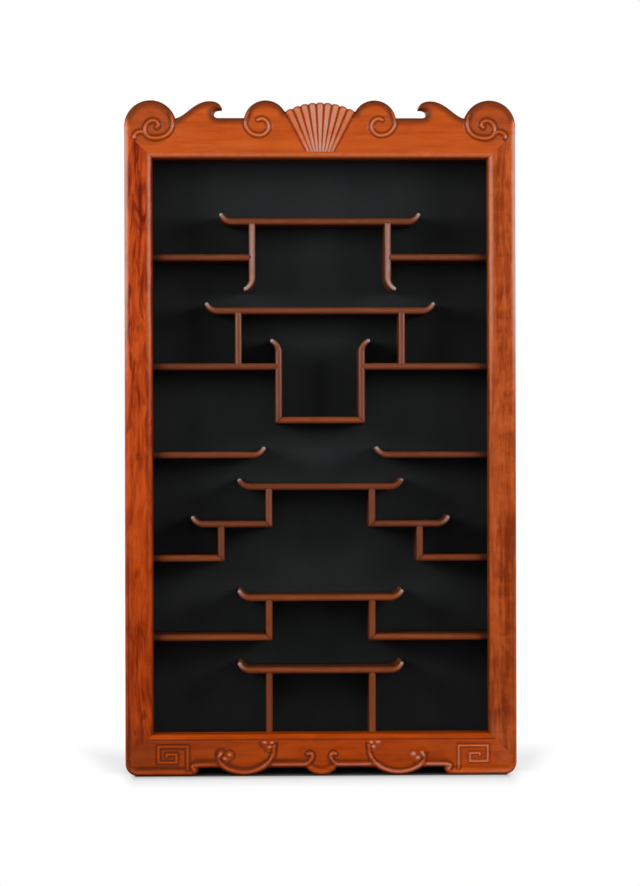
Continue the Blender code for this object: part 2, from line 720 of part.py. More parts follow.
def case_side(name, side, holes):
    """Side board of the case: shelf housings, top and back rebates, and a tongue for the stile."""
    def slot(underside, thickness):
        return (underside + thickness / 2, thickness + 2 * GAP, SIDE_HOUSING + GAP)
    slots = [slot(z, SHELF) for z in HOUSED_LEVELS] + [slot(FLOOR_Z - BOARD, BOARD)]
    half = BOARD / 2
    far = [(CASE_TOP_Z, -half), (CASE_TOP_Z, 0.0), (CEILING_Z - GAP, 0.0), (CEILING_Z - GAP, half)]
    strip = Strip(side_foot(), far, above=slots, thickness=BOARD)
    outline = [(-side * v, u) for u, v in strip.outline()]
    obj = facing(name, outline, CASE_FRONT_Y, BACK_Y, CASE_WOOD, (side * (SIDE_OUTER - half), 0.0))
    ends = sorted((side * (SIDE_INNER - 0.01), side * (SIDE_INNER + REBATE)))
    rebate = block(name + "_rebate", (ends[0], BACK_BOARD_Y - GAP, -0.01),
                   (ends[1], BACK_Y + 0.01, CASE_TOP_Z + 0.01))
    cut(obj, rebate)
    x = side * tongue_x()
    wide = TONGUE_THICKNESS / 2
    tongue = block(name + "_tongue", (x - wide, FRAME_BACK_Y - TONGUE_LENGTH, tongue_low()),
                   (x + wide, CASE_FRONT_Y + 2.0 * MM, tongue_high()))
    cut(obj, tongue, "UNION")
    return cut(obj, holes)


def case_boards(holes):
    """Sides, top, bottom, back and cloth lining of the case."""
    for label, side in SIDES:
        case_side(f"case_side_{label}", side, holes)
    rear = BACK_BOARD_Y - GAP
    end = SIDE_OUTER - BOARD / 2 - GAP
    cut(block("case_top", (-end, CASE_FRONT_Y, CEILING_Z), (end, rear, CASE_TOP_Z), CASE_WOOD), holes)
    end = SIDE_INNER + SIDE_HOUSING
    strip = Strip(cut_end(-end, -end, BOARD), cut_end(end, end, BOARD),
                  above=[housing(-UPRIGHT_X), housing(UPRIGHT_X)], thickness=BOARD)
    level = (0.0, FLOOR_Z - BOARD / 2)
    cut(facing("case_bottom", strip.outline(), CASE_FRONT_Y, rear, CASE_WOOD, level), holes)
    end = SIDE_INNER + REBATE - GAP
    back = block("back_board", (-end, BACK_BOARD_Y, BACK_BOTTOM_Z), (end, BACK_Y, CASE_TOP_Z), CASE_WOOD)
    cut(back, holes)
    end = SIDE_INNER - GAP
    block("back_lining", (-end, LINING_Y, FLOOR_Z + GAP),
          (end, LINING_Y + LINING_THICKNESS, CEILING_Z - GAP), CLOTH)


def back_screws():
    """Place the back screws and return the matching holes as one group of cutters."""
    holes = []
    seat = BACK_Y - GAP
    for name, x, z in screw_places():
        screw = turned_screw(name, 0.0, 0.0, BRASS)
        screw.location = (x, seat, z)
        slot = block(name + "_slot", (x - 2 * SCREW_HEAD, seat - SCREW_SLOT, z - SCREW_SLOT / 2),
                     (x + 2 * SCREW_HEAD, seat + SCREW_SLOT, z + SCREW_SLOT / 2))
        cut(screw, slot)
        hole = turned_screw(name + "_hole", GAP, 2.0 * MM)
        hole.location = (x, seat, z)
        holes.append(hole)
    return cutter_group("screw_holes", holes)


def shelving():
    """Every shelf and upright, from the top of the cabinet to its floor."""
    half = SHELF / 2
    plug = SHELF_HOUSING
    slip = GAP / 2 * math.sqrt(2.0)
    roof_shelf("roof_shelf", ROOF_TIP, ROOF_Z, (-ROOF_LEG_X, ROOF_LEG_X))
    roof_shelf("bridge_shelf", BRIDGE_TIP, BRIDGE_Z, (-BRIDGE_POST_X, BRIDGE_POST_X))
    roof_shelf("middle_roof_shelf", CANOPY_TIP, MIDDLE_ROOF_Z, (-UPRIGHT_X, UPRIGHT_X))
    roof_shelf("lower_roof_shelf", CANOPY_TIP, LOWER_ROOF_Z, (-UPRIGHT_X, UPRIGHT_X))
    roof_shelf("base_roof_shelf", CANOPY_TIP, BASE_ROOF_Z, (-UPRIGHT_X, UPRIGHT_X))
    low, high = TRAY_SIDE_X + half - slip, TRAY_SIDE_X - half - slip
    tray = Strip(cut_end(-low, -high), cut_end(low, high))
    strip_piece("tray_bottom", tray, (0.0, TRAY_Z + half))
    for label, side in SIDES:
        upright(f"roof_leg_{label}", side, ROOF_LEG_X, curl_end(ROOF_LEG_FOOT, -1, 1),
                cut_end(ROOF_Z + plug, ROOF_Z + plug), above=[housing(UPPER_WING_Z + half)],
                sweep=(ROOF_LEG_FOOT, None))
        end = ROOF_LEG_X + half - plug
        wing_shelf(f"upper_wing_{label}", side, UPPER_WING_Z, end, end)
        upright(f"bridge_post_{label}", side, BRIDGE_POST_X,
                cut_end(TRAY_WING_Z + SHELF - plug, TRAY_WING_Z + SHELF - plug),
                cut_end(BRIDGE_Z + plug, BRIDGE_Z + plug))
        end = TRAY_SIDE_X + half - plug
        wing_shelf(f"tray_wing_{label}", side, TRAY_WING_Z, end, end, above=[BRIDGE_POST_X])
        upright(f"tray_side_{label}", side, TRAY_SIDE_X,
                cut_end(TRAY_Z + SHELF + slip, TRAY_Z + slip), curl_end(TRAY_SIDE_TOP, 1, 1),
                above=[housing(TRAY_WING_Z + half)], sweep=(None, TRAY_SIDE_TOP))
        ledge(f"ledge_{label}", side)
        step(f"step_shelf_{label}", side, slip)
        upright(f"middle_upright_{label}", side, UPRIGHT_X, cut_end(STEP_Z + slip, STEP_Z + SHELF + slip),
                cut_end(MIDDLE_ROOF_Z + plug, MIDDLE_ROOF_Z + plug))
        for kind, x, base, top in (("lower_wing", STEP_UPRIGHT_X, LOWER_WING_Z, STEP_Z),
                                   ("base_wing", UPRIGHT_X, BASE_WING_Z, LOWER_ROOF_Z)):
            wing_shelf(f"{kind}_{label}", side, base, x - half + slip, x + half + slip)
            post = "step_upright" if kind == "lower_wing" else "lower_upright"
            upright(f"{post}_{label}", side, x, cut_end(base + slip, base + SHELF + slip),
                    cut_end(top + plug, top + plug))
        upright(f"base_upright_{label}", side, UPRIGHT_X, cut_end(FLOOR_Z - plug, FLOOR_Z - plug),
                cut_end(BASE_ROOF_Z + plug, BASE_ROOF_Z + plug))


def ledge(name, side):
    """Shelf that reaches in from a case side to a free, swept-up tip."""
    wall = SIDE_INNER + SIDE_HOUSING
    if side > 0:
        strip = Strip(curl_end(LEDGE_TIP, -1, 1), cut_end(wall, wall))
        sweep = (LEDGE_TIP, None)
    else:
        strip = Strip(cut_end(-wall, -wall), curl_end(-LEDGE_TIP, 1, 1))
        sweep = (None, -LEDGE_TIP)
    return strip_piece(name, strip, (0.0, LEDGE_Z + SHELF / 2), sweep=sweep)


def step(name, side, slip):
    """Shelf with an outer swept-up tip whose inner end is mitred to the upright above it."""
    half = SHELF / 2
    low, high = UPRIGHT_X - half + slip, UPRIGHT_X + half + slip
    below = [housing(side * STEP_UPRIGHT_X)]
    if side > 0:
        strip = Strip(cut_end(low, high), curl_end(STEP_TIP, 1, 1), below=below)
        sweep = (None, STEP_TIP)
    else:
        strip = Strip(curl_end(-STEP_TIP, -1, 1), cut_end(-low, -high), below=below)
        sweep = (-STEP_TIP, None)
    return strip_piece(name, strip, (0.0, STEP_Z + half), sweep=sweep)


def build():
    """Build every piece of the cabinet."""
    clear_scene()
    for label, side in SIDES:
        stile(f"stile_{label}", side)
    crest_rail()
    apron_rail()
    case_boards(back_screws())
    shelving()


build()
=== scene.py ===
"""Looks of an open-fronted display cabinet for snuff bottles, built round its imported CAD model.

Metres, +Z up, the front faces -Y. A carved front frame stands before a shallow case with stepped shelves.
"""

import logging
import math
from dataclasses import dataclass, replace
from enum import Enum
from typing import Any, Sequence, Union

import bmesh
import bpy
import numpy as np
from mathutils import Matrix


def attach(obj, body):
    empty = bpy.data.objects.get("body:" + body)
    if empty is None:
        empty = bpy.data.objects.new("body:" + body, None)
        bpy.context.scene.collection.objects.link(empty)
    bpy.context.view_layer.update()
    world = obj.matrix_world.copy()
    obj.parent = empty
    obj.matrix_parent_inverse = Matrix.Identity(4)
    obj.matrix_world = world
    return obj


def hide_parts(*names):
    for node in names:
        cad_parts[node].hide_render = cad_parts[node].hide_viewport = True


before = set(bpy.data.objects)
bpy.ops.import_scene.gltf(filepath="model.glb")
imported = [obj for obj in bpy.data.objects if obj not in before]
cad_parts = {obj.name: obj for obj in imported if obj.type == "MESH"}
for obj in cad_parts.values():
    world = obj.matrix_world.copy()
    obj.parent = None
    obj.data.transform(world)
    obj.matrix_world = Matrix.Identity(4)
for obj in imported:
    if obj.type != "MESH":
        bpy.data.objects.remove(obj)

Array = np.ndarray
Pair = tuple[float, float]
Triple = tuple[float, float, float]
Material = bpy.types.Material
Piece = bpy.types.Object
Socket = bpy.types.NodeSocket
MM = 0.001
BODY = "root"
WHITE = (1.0, 1.0, 1.0, 1.0)
LOG = logging.getLogger("cabinet")

# Planes and sizes shared with the CAD model
HALF = 232.0 * MM
OPENING_HALF = 199.0 * MM
SILL = 50.0 * MM
HEAD = 731.0 * MM
FACE_Y = -44.5 * MM
FRAME_BACK_Y = -24.5 * MM
SHELF_FRONT_Y = -23.2 * MM
SHELF_BACK_Y = 39.3 * MM
GAP = 0.3 * MM
SEAM = 0.05 * MM
SHELF = 8.0 * MM

# Ends of the tone: deepest in a hollow, painted shade over patina, and palest on a ridge, painted highlight
# over paleness from rubbing
HOLLOW, PALEST = -1.0, 2.0


class Grain(Enum):
    """Where a wood reads its fibre direction from."""
    FOLLOWED = "grain attribute of the piece"
    UPRIGHT = "object coordinates, fibres along Z"
    LEVEL = "object coordinates, fibres along X"


class EndKind(Enum):
    """How a shelf strip ends."""
    SQUARE = "cut across, with an optional slant"
    SWEPT = "swept up into a slim round tip"


# Shader building

class Value:
    """A number socket that takes part in arithmetic; every operator adds one Math node."""
    SMOOTH = {"interpolation_type": "SMOOTHSTEP", "clamp": True}

    def __init__(self, graph: "Graph", socket: Socket) -> None:
        """Keep the node graph and the output socket."""
        self.graph = graph
        self.socket = socket

    def math(self, operation: str, *operands: "Number") -> "Value":
        """Add one Math node on the given operands."""
        return self.graph.value("ShaderNodeMath", {"operation": operation}, dict(enumerate(operands)))

    def __add__(self, other: "Number") -> "Value":
        """Sum of two values."""
        return self.math("ADD", self, other)

    __radd__ = __add__

    def __sub__(self, other: "Number") -> "Value":
        """Difference of two values."""
        return self.math("SUBTRACT", self, other)

    def __rsub__(self, other: "Number") -> "Value":
        """Difference with the plain number first."""
        return self.math("SUBTRACT", other, self)

    def __mul__(self, other: "Number") -> "Value":
        """Product of two values."""
        return self.math("MULTIPLY", self, other)

    __rmul__ = __mul__

    def size(self) -> "Value":
        """The value without its sign."""
        return self.math("ABSOLUTE", self)

    def at_least(self, other: "Number") -> "Value":
        """Larger of two values."""
        return self.math("MAXIMUM", self, other)

    def rise(self, low: float, high: float) -> "Value":
        """Smooth step from 0 at low to 1 at high."""
        span = {"Value": self, "From Min": low, "From Max": high}
        return self.graph.value("ShaderNodeMapRange", self.SMOOTH, span)


Number = Union[Value, float]


@dataclass(frozen=True)
class Cells:
    """Noise pattern: cells to the metre on each axis, finer layers, their weight, and how cells are bent."""
    scale: Triple
    detail: float = 2.0
    roughness: float = 0.5
    distortion: float = 0.0


class Graph:
    """Node tree of one finish or of the world, with a single way to add nodes."""

    def __init__(self, tree: bpy.types.NodeTree) -> None:
        """Start from an empty tree."""
        self.tree = tree
        tree.nodes.clear()

    def node(self, kind: str, settings: dict[str, Any], inputs: dict[Any, Any]) -> bpy.types.Node:
        """Add a node.

        Args:
            kind: Blender's name of the node type.
            settings: Properties that are set first; "stops" fills a ramp with (place, colour) pairs.
            inputs: Sockets by name or number, each with a plain value, a Value or a socket.

        Returns:
            The new node.
        """
        node = self.tree.nodes.new(kind)
        for key, setting in settings.items():
            if key == "stops":
                elements = node.color_ramp.elements
                while len(elements) < len(setting):
                    elements.new(1.0)
                for element, (place, colour) in zip(elements, setting):
                    element.position = place
                    element.color = (*colour, 1.0)
            else:
                setattr(node, key, setting)
        for key, given in inputs.items():
            socket = node.inputs[key]
            if isinstance(given, Value):
                given = given.socket
            if isinstance(given, Socket):
                self.tree.links.new(given, socket)
            else:
                socket.default_value = given
        return node

    def value(self, kind: str, settings: dict[str, Any], inputs: dict[Any, Any], output: Any = 0) -> Value:
        """Add a node and wrap one of its outputs for arithmetic."""
        return Value(self, self.node(kind, settings, inputs).outputs[output])

    def place(self) -> Socket:
        """Object coordinates of the piece."""
        return self.node("ShaderNodeTexCoord", {}, {}).outputs["Object"]

    def parts(self, vector: Socket) -> list[Value]:
        """The three coordinates of a vector."""
        return [Value(self, output) for output in self.node("ShaderNodeSeparateXYZ", {}, {0: vector}).outputs]

    def vector(self, operation: str, first: Any, second: Any) -> Socket:
        """Add one Vector Math node on two vectors."""
        return self.node("ShaderNodeVectorMath", {"operation": operation}, {0: first, 1: second}).outputs[0]

    def noise(self, vector: Socket, cells: Cells) -> Value:
        """Noise about 0.5.

        Args:
            vector: Coordinates in metres.
            cells: The pattern.

        Returns:
            Value of the noise.
        """
        scaled = self.vector("MULTIPLY", vector, cells.scale)
        inputs = {"Vector": scaled, "Scale": 1.0, "Detail": cells.detail, "Roughness": cells.roughness,
                  "Distortion": cells.distortion}
        return self.value("ShaderNodeTexNoise", {"noise_dimensions": "3D"}, inputs)

    def blend(self, amount: Number, first: Any, second: Any) -> Socket:
        """Mix two colours by an amount from 0 to 1."""
        colours = {6 + k: (*c, 1.0) if isinstance(c, tuple) else c for k, c in enumerate((first, second))}
        return self.node("ShaderNodeMix", {"data_type": "RGBA"}, {0: amount, **colours}).outputs[2]

    def ramp(self, amount: Number, stops: Sequence[tuple[float, Triple]]) -> Socket:
        """Colour read from a ramp."""
        return self.node("ShaderNodeValToRGB", {"stops": list(stops)}, {0: amount}).outputs[0]

    def surface(self, relief: Value, strength: float, depth: float, inputs: dict[str, Any]) -> None:
        """End the graph with a surface that carries a fine relief.

        Args:
            relief: Height of the relief.
            strength: How much of the relief is seen.
            depth: Metres that a height of 1 stands for.
            inputs: The other inputs of the surface.
        """
        bump = self.node("ShaderNodeBump", {}, {"Strength": strength, "Distance": depth, "Height": relief})
        shader = self.node("ShaderNodeBsdfPrincipled", {}, {**inputs, "Normal": bump.outputs[0]})
        self.node("ShaderNodeOutputMaterial", {}, {"Surface": shader.outputs[0]})


def new_material(name: str) -> tuple[Material, Graph]:
    """Start an empty node material.

    Args:
        name: Name of the finish.

    Returns:
        The material and its node graph.
    """
    material = bpy.data.materials.new(name)
    material.use_nodes = True
    return material, Graph(material.node_tree)


def tinted(colour: Triple, factors: Triple) -> Triple:
    """Colour with each part times its factor."""
    return tuple(c * k for c, k in zip(colour, factors))


@dataclass(frozen=True)
class Wood:
    """Oiled and polished hardwood: long bands, streaks, mottled figure, dark flecks, fibres and pores.

    bands, streaks, figure, flecks and ripple are the shares of these patterns, and the scale of a pattern's
    cells begins with the one along the fibres.
    """
    name: str
    dark: Triple
    middle: Triple
    light: Triple
    bands: float = 0.7
    streaks: float = 0.5
    figure: float = 0.5
    flecks: float = 0.0
    ripple: float = 0.0
    gloss: float = 0.22
    grain: Grain = Grain.FOLLOWED
    shift: Triple = (0.0, 0.0, 0.0)
    # Pale colour for ridges pale from rubbing and for painted highlights and reflections
    worn_and_painted_highlight: Triple = (0.48, 0.30, 0.225)
    shine: float = 0.2
    hairs: float = 0.16
    sway: Pair = (0.016, 0.009)
    deep_tint: Triple = (0.48, 0.6, 0.3)
    stain_tint: Triple = (0.72, 0.38, 0.3)
    drift_cells: Cells = Cells((7.0, 24.0, 24.0))
    band_cells: Cells = Cells((2.0, 85.0, 55.0), 3.0, 0.55)
    streak_cells: Cells = Cells((5.0, 300.0, 180.0), 2.0, 0.6)
    figure_cells: Cells = Cells((24.0, 120.0, 90.0), 4.0, 0.62, 0.9)
    ripple_cells: Cells = Cells((62.0, 30.0, 30.0), 2.0, 0.5, 0.6)
    hair_cells: Cells = Cells((55.0, 1700.0, 1700.0), 2.0, 0.6)
    pore_cells: Cells = Cells((130.0, 2300.0, 2300.0), 1.0)
    mark_cells: Cells = Cells((22.0, 130.0, 100.0), 3.0, 0.5, 0.8)
    patch_cells: Cells = Cells((6.0, 30.0, 30.0))
    wear_cells: Cells = Cells((90.0, 90.0, 90.0), 3.0, 0.6)

    def fibres(self, graph: Graph) -> Socket:
        """Vector whose first part runs along the fibres.

        Args:
            graph: Node graph of the finish.

        Returns:
            Socket with the fibre coordinates in metres.
        """
        if self.grain is Grain.FOLLOWED:
            return graph.node("ShaderNodeAttribute", {"attribute_name": "grain"}, {}).outputs["Vector"]
        turn = (0.0, math.pi / 2, 0.0) if self.grain is Grain.UPRIGHT else (0.0, 0.0, 0.0)
        mapping = {"Vector": graph.place(), "Rotation": turn, "Location": self.shift}
        return graph.node("ShaderNodeMapping", {}, mapping).outputs[0]

    def material(self) -> Material:
        """Build the finish.

        Returns:
            Material whose tone is a sum of noises stretched along the fibres, and, where the piece has a tone
            attribute, darkened by painted shade over patina and made paler and duller by painted highlights
            and rubbing.
        """
        material, graph = new_material(self.name)
        fibres = self.fibres(graph)
        drift = graph.noise(fibres, self.drift_cells) - 0.5
        sway = graph.node("ShaderNodeCombineXYZ", {}, {"Y": drift * self.sway[0], "Z": drift * self.sway[1]})
        swayed = graph.vector("ADD", fibres, sway.outputs[0])
        hair = graph.noise(fibres, self.hair_cells)
        pores = graph.noise(fibres, self.pore_cells).rise(0.62, 0.74)
        tone = 0.5 + (hair - 0.5) * self.hairs
        for share, cells in ((self.bands, self.band_cells), (self.streaks, self.streak_cells),
                             (self.figure, self.figure_cells), (self.ripple, self.ripple_cells)):
            if share:
                tone = tone + (graph.noise(swayed, cells) - 0.5) * share
        colour = graph.ramp(tone, ((0.22, self.dark), (0.5, self.middle), (0.78, self.light)))
        deep, stain_and_painted_shade = tinted(self.dark, self.deep_tint), tinted(self.dark, self.stain_tint)
        if self.flecks:
            marks = graph.noise(swayed, self.mark_cells).rise(0.44, 0.64)
            patches = graph.noise(fibres, self.patch_cells).rise(0.36, 0.58)
            along = graph.parts(fibres)[0].rise(-0.1, 0.1) * 0.65 + 0.35
            colour = graph.blend(marks * patches * along * self.flecks, colour, stain_and_painted_shade)
        colour = graph.blend(pores * 0.4, colour, deep)
        rough = self.gloss + (hair - 0.5) * 0.14 + pores * 0.1
        if self.grain is Grain.FOLLOWED:
            # The tone attribute paints shade and highlights into the colour, on top of patina in hollows and
            # rubbing on ridges
            carve = graph.value("ShaderNodeAttribute", {"attribute_name": "carve"}, {}, "Fac")
            patchy = graph.noise(fibres, self.wear_cells)
            hollow = ((0.0 - carve) * (0.75 + patchy * 0.5)).rise(0.05, 1.05)
            ridge = (carve * (0.4 + patchy)).rise(0.1, 1.0)
            rubbed_and_painted_highlight = (carve * (0.7 + patchy * 0.6)).rise(0.5, 1.8)
            bright = tuple(min(1.0, 1.15 * c + 0.02) for c in self.light)
            for amount, tint in ((hollow * 0.85, deep), (ridge * 0.4, bright), (rubbed_and_painted_highlight * 0.85, self.worn_and_painted_highlight)):
                colour = graph.blend(amount, colour, tint)
            rough = rough + hollow * 0.25 + ridge * 0.25
        inputs = {"Base Color": colour, "Roughness": rough, "Specular IOR Level": self.shine,
                  "Coat Weight": 0.3 * self.shine, "Coat Roughness": 0.15}
        graph.surface(hair * 0.5 - pores, 0.35, 0.06 * MM, inputs)
        return material


@dataclass(frozen=True)
class Cloth:
    """Matt black plain-woven cloth, a little dusty, with a crossed weave.

    wave is the width of the bands that a wave texture of scale 1 has.
    """
    name: str = "black_cloth_weave"
    dark: Triple = (0.0125, 0.0140, 0.0145)
    pale: Triple = (0.0270, 0.0295, 0.0300)
    thread: float = 0.7 * MM
    wave: float = 0.314
    dust_cells: Cells = Cells((14.0, 14.0, 9.0), 4.0, 0.6)
    lint_cells: Cells = Cells((900.0, 900.0, 900.0))

    def material(self) -> Material:
        """Build the finish.

        Returns:
            Material with two crossed wave bands for the threads and soft patches of dust.
        """
        material, graph = new_material(self.name)
        place = graph.place()
        bands = {"Vector": place, "Scale": self.wave / self.thread, "Distortion": 0.6, "Detail": 1.0,
                 "Detail Scale": 1.5}
        kinds = ({"wave_type": "BANDS", "bands_direction": axis} for axis in ("X", "Z"))
        warp, weft = (graph.value("ShaderNodeTexWave", kind, bands, "Fac") for kind in kinds)
        weave = warp.at_least(weft)
        dust = graph.noise(place, self.dust_cells)
        lint = graph.noise(place, self.lint_cells).rise(0.66, 0.8)
        tone = weave * 0.35 + (dust - 0.3) * 0.7 + lint * 0.5
        inputs = {"Base Color": graph.ramp(tone, ((0.1, self.dark), (0.9, self.pale))),
                  "Roughness": 0.92 - weave * 0.06, "Specular IOR Level": 0.12,
                  "Sheen Weight": 0.04, "Sheen Roughness": 0.6}
        graph.surface(weave, 0.5, 0.2 * MM, inputs)
        return material


@dataclass(frozen=True)
class Brass:
    """Dull brass of the back screws, darkened in blotches, with fine turning marks."""
    name: str = "dull_brass"
    bright: Triple = (0.62, 0.42, 0.16)
    stained: Triple = (0.20, 0.12, 0.05)
    tarnish_cells: Cells = Cells((420.0, 420.0, 420.0), 4.0, 0.65)
    mark_cells: Cells = Cells((1500.0, 300.0, 6000.0))

    def material(self) -> Material:
        """Build the finish.

        Returns:
            Metal whose colour and roughness follow blotches of tarnish.
        """
        material, graph = new_material(self.name)
        place = graph.place()
        tarnish = graph.noise(place, self.tarnish_cells)
        inputs = {"Base Color": graph.ramp(tarnish, ((0.35, self.stained), (0.65, self.bright))),
                  "Metallic": 1.0, "Roughness": 0.55 - tarnish * 0.3}
        graph.surface(graph.noise(place, self.mark_cells), 0.3, 0.05 * MM, inputs)
        return material


# Shapes in the front view

def arc(centre: Pair, radius: float, start: float, end: float, steps: int = 24) -> Array:
    """Arc: the centre plus the radius times cosine and sine of angles from start to end, in degrees."""
    angle = np.radians(np.linspace(start, end, steps + 1))
    return np.stack([centre[0] + radius * np.cos(angle), centre[1] + radius * np.sin(angle)], axis=1)


def bend(first: Pair, pull: Pair, push: Pair, last: Pair, steps: int = 16) -> Array:
    """Cubic curve: the four points weighted by the terms of (s + t) cubed, with s = 1 - t.

    Args:
        first: Where the curve begins.
        pull: Point that it leaves towards.
        push: Point that it arrives from.
        last: Where it ends.
        steps: Number of straight runs.

    Returns:
        Points of the curve.
    """
    t = np.linspace(0.0, 1.0, steps + 1)[:, None]
    s = 1.0 - t
    a, b, c, d = (np.asarray(p, dtype=float) for p in (first, pull, push, last))
    return s ** 3 * a + 3 * s * s * t * b + 3 * s * t * t * c + t ** 3 * d


def joined(*runs: Any) -> Array:
    """One path from several, without the points that follow themselves."""
    path = np.concatenate([np.atleast_2d(np.asarray(r, dtype=float)) for r in runs])
    return path[np.concatenate([[True], np.abs(np.diff(path, axis=0)).sum(axis=1) > 1e-7])]


def flipped(path: Array) -> Array:
    """The path on the other side of the middle."""
    return path * np.array([-1.0, 1.0])


def blocks(points: Array, most: int = 5000) -> list[Array]:
    """Runs of points that are short enough to be set against a whole path at once."""
    return np.array_split(points, max(1, len(points) // most))


def gap_to(points: Array, path: Array, closed: bool = False) -> tuple[Array, Array]:
    """Distance of points from a path of straight runs.

    Each point is dropped onto every run, held within the run's ends, and the nearest foot is kept.

    Args:
        points: Points of the front view, one per row.
        path: Corner points of the path.
        closed: True to go back from the last corner to the first.

    Returns:
        The distances and the feet on the path.
    """
    start = path if closed else path[:-1]
    along = (np.roll(path, -1, axis=0) if closed else path[1:]) - start
    length = (along ** 2).sum(axis=1)
    gaps, feet = [], []
    for block in blocks(points):
        offset = block[:, None, :] - start[None]
        share = np.clip((offset * along).sum(axis=2) / length, 0.0, 1.0)
        foot = start + share[..., None] * along
        square = ((block[:, None, :] - foot) ** 2).sum(axis=2)
        best = square.argmin(axis=1)
        row = np.arange(len(block))
        gaps.append(np.sqrt(square[row, best]))
        feet.append(foot[row, best])
    return np.concatenate(gaps), np.concatenate(feet)


def least_gap(points: Array, paths: Sequence[Array]) -> Array:
    """Distance of points from the nearest of several paths."""
    return np.min([gap_to(points, path)[0] for path in paths], axis=0)


def within(points: Array, outline: Array) -> Array:
    """Tell the points inside an outline: a line to the right crosses it an odd number of times.

    Args:
        points: Points of the front view.
        outline: Corner points of the outline.

    Returns:
        True for each point inside.
    """
    x0, z0 = outline.T
    x1, z1 = np.roll(outline, -1, axis=0).T
    rise = np.where(z1 == z0, 1.0, z1 - z0)
    found = []
    for block in blocks(points):
        x, z = block[:, :1], block[:, 1:]
        crosses = (z0 <= z) != (z1 <= z)
        found.append((crosses & (x < x0 + (z - z0) * (x1 - x0) / rise)).sum(axis=1) % 2 == 1)
    return np.concatenate(found)


def thread(*points: Pair) -> Array:
    """Smooth path through points in millimetres.

    Each span is a cubic whose slope at a point is half the step between the point's two neighbours.

    Args:
        points: Points of the front view, in order.

    Returns:
        The path in metres.
    """
    p = np.array(points) * MM
    p = np.concatenate([2.0 * p[:1] - p[1:2], p, 2.0 * p[-1:] - p[-2:-1]])
    a, b, c, d = p[:-3], p[1:-2], p[2:-1], p[3:]
    t = np.linspace(0.0, 1.0, 9)[:-1, None, None]
    spans = b + 0.5 * t * (c - a + t * (2.0 * a - 5.0 * b + 4.0 * c - d + t * (3.0 * (b - c) + d - a)))
    return np.concatenate([spans.transpose(1, 0, 2).reshape(-1, 2), p[-2:-1]])


def ease(value: Array, low: float, high: float) -> Array:
    """Smooth step from 0 at low to 1 at high."""
    share = np.clip((value - low) / (high - low), 0.0, 1.0)
    return share * share * (3.0 - 2.0 * share)


def bell(value: Array, width: float) -> Array:
    """Bell curve: 1 at 0, about a third at the width."""
    return np.exp(-(value / width) ** 2)


def mixed(first: Array, second: Array, share: Array) -> Array:
    """The first value where the share is 0, the second where it is 1, and a blend between."""
    return first * (1.0 - share) + second * share


def quarter(share: Array) -> Array:
    """Quarter ellipse: 1 at a share of 0, falling to 0 at 1."""
    return np.sqrt(1.0 - share * share)


@dataclass(frozen=True)
class Bead:
    """Carved ridge along a line, between two hollows: pale on its crown, a painted highlight over paleness
    from rubbing, and dark beside it, painted shade over patina.

    The widths of the two tones and the place of the dark one are shares of the half width.
    """
    half: float = 2.2 * MM
    rise: float = 0.8 * MM
    sink: float = 1.0 * MM
    fade: float = 1.6 * MM
    pale: float = 0.5
    dark: float = 0.9
    highlight_width: float = 0.55
    dark_at: float = 1.25
    dark_width: float = 0.6

    def height(self, gap: Array) -> Array:
        """Squared cosine above the sunk ground, which comes back to the face as a bell curve."""
        crown = (self.rise + self.sink) * np.cos(0.5 * math.pi * np.clip(gap / self.half, 0.0, 1.0)) ** 2
        return crown - self.sink * bell(np.clip(gap - self.half, 0.0, None), self.fade)

    def tone(self, gap: Array, hollow: Any = 1.0) -> Array:
        """Pale bell curve on the crown less a dark one in the hollow, where there is one."""
        # Painted highlight on the crown, painted shade in the hollow beside it
        dark = self.dark * hollow * bell(gap - self.dark_at * self.half, self.dark_width * self.half)
        return self.pale * bell(gap, self.highlight_width * self.half) - dark


@dataclass(frozen=True)
class Rim:
    """Rounded edge of a frame piece: a drop at the silhouette, a crown, and a soft hollow inside it."""
    crown_at: float = 4.2 * MM
    drop: float = 5.5 * MM
    bead: Bead = Bead(half=3.0 * MM, rise=0.3 * MM, sink=0.35 * MM, fade=1.8 * MM, pale=0.1, dark=0.25)
    stain_and_painted_shade: float = 1.2
    painted_shade_width: float = 6.6 * MM

    def height(self, edge_gap: Array) -> Array:
        """Quarter ellipse from the silhouette to the crown, then half a bead down into the hollow.

        Args:
            edge_gap: Distance from the silhouette.

        Returns:
            Height over the face.
        """
        run = np.clip((self.crown_at - edge_gap) / self.crown_at, 0.0, 1.0)
        outer = (self.drop + self.bead.rise) * quarter(run) - self.drop
        return np.where(run > 0.0, outer, self.bead.height(np.abs(edge_gap - self.crown_at)))

    def tone(self, edge_gap: Array) -> Array:
        """Tone of the bead, dark on its inner side only, with a painted shade along the silhouette.

        Args:
            edge_gap: Distance from the silhouette.

        Returns:
            Ridge and hollow tone.
        """
        gap = edge_gap - self.crown_at
        # Painted shade along the silhouette
        stain_and_painted_shade = self.stain_and_painted_shade * np.exp(-(edge_gap / self.painted_shade_width) ** 4)
        return self.bead.tone(np.abs(gap), gap >= 0.0) - stain_and_painted_shade


OUTER_RIM = Rim(crown_at=6.5 * MM, bead=Bead(half=3.0 * MM, rise=0.05 * MM, sink=0.1 * MM))


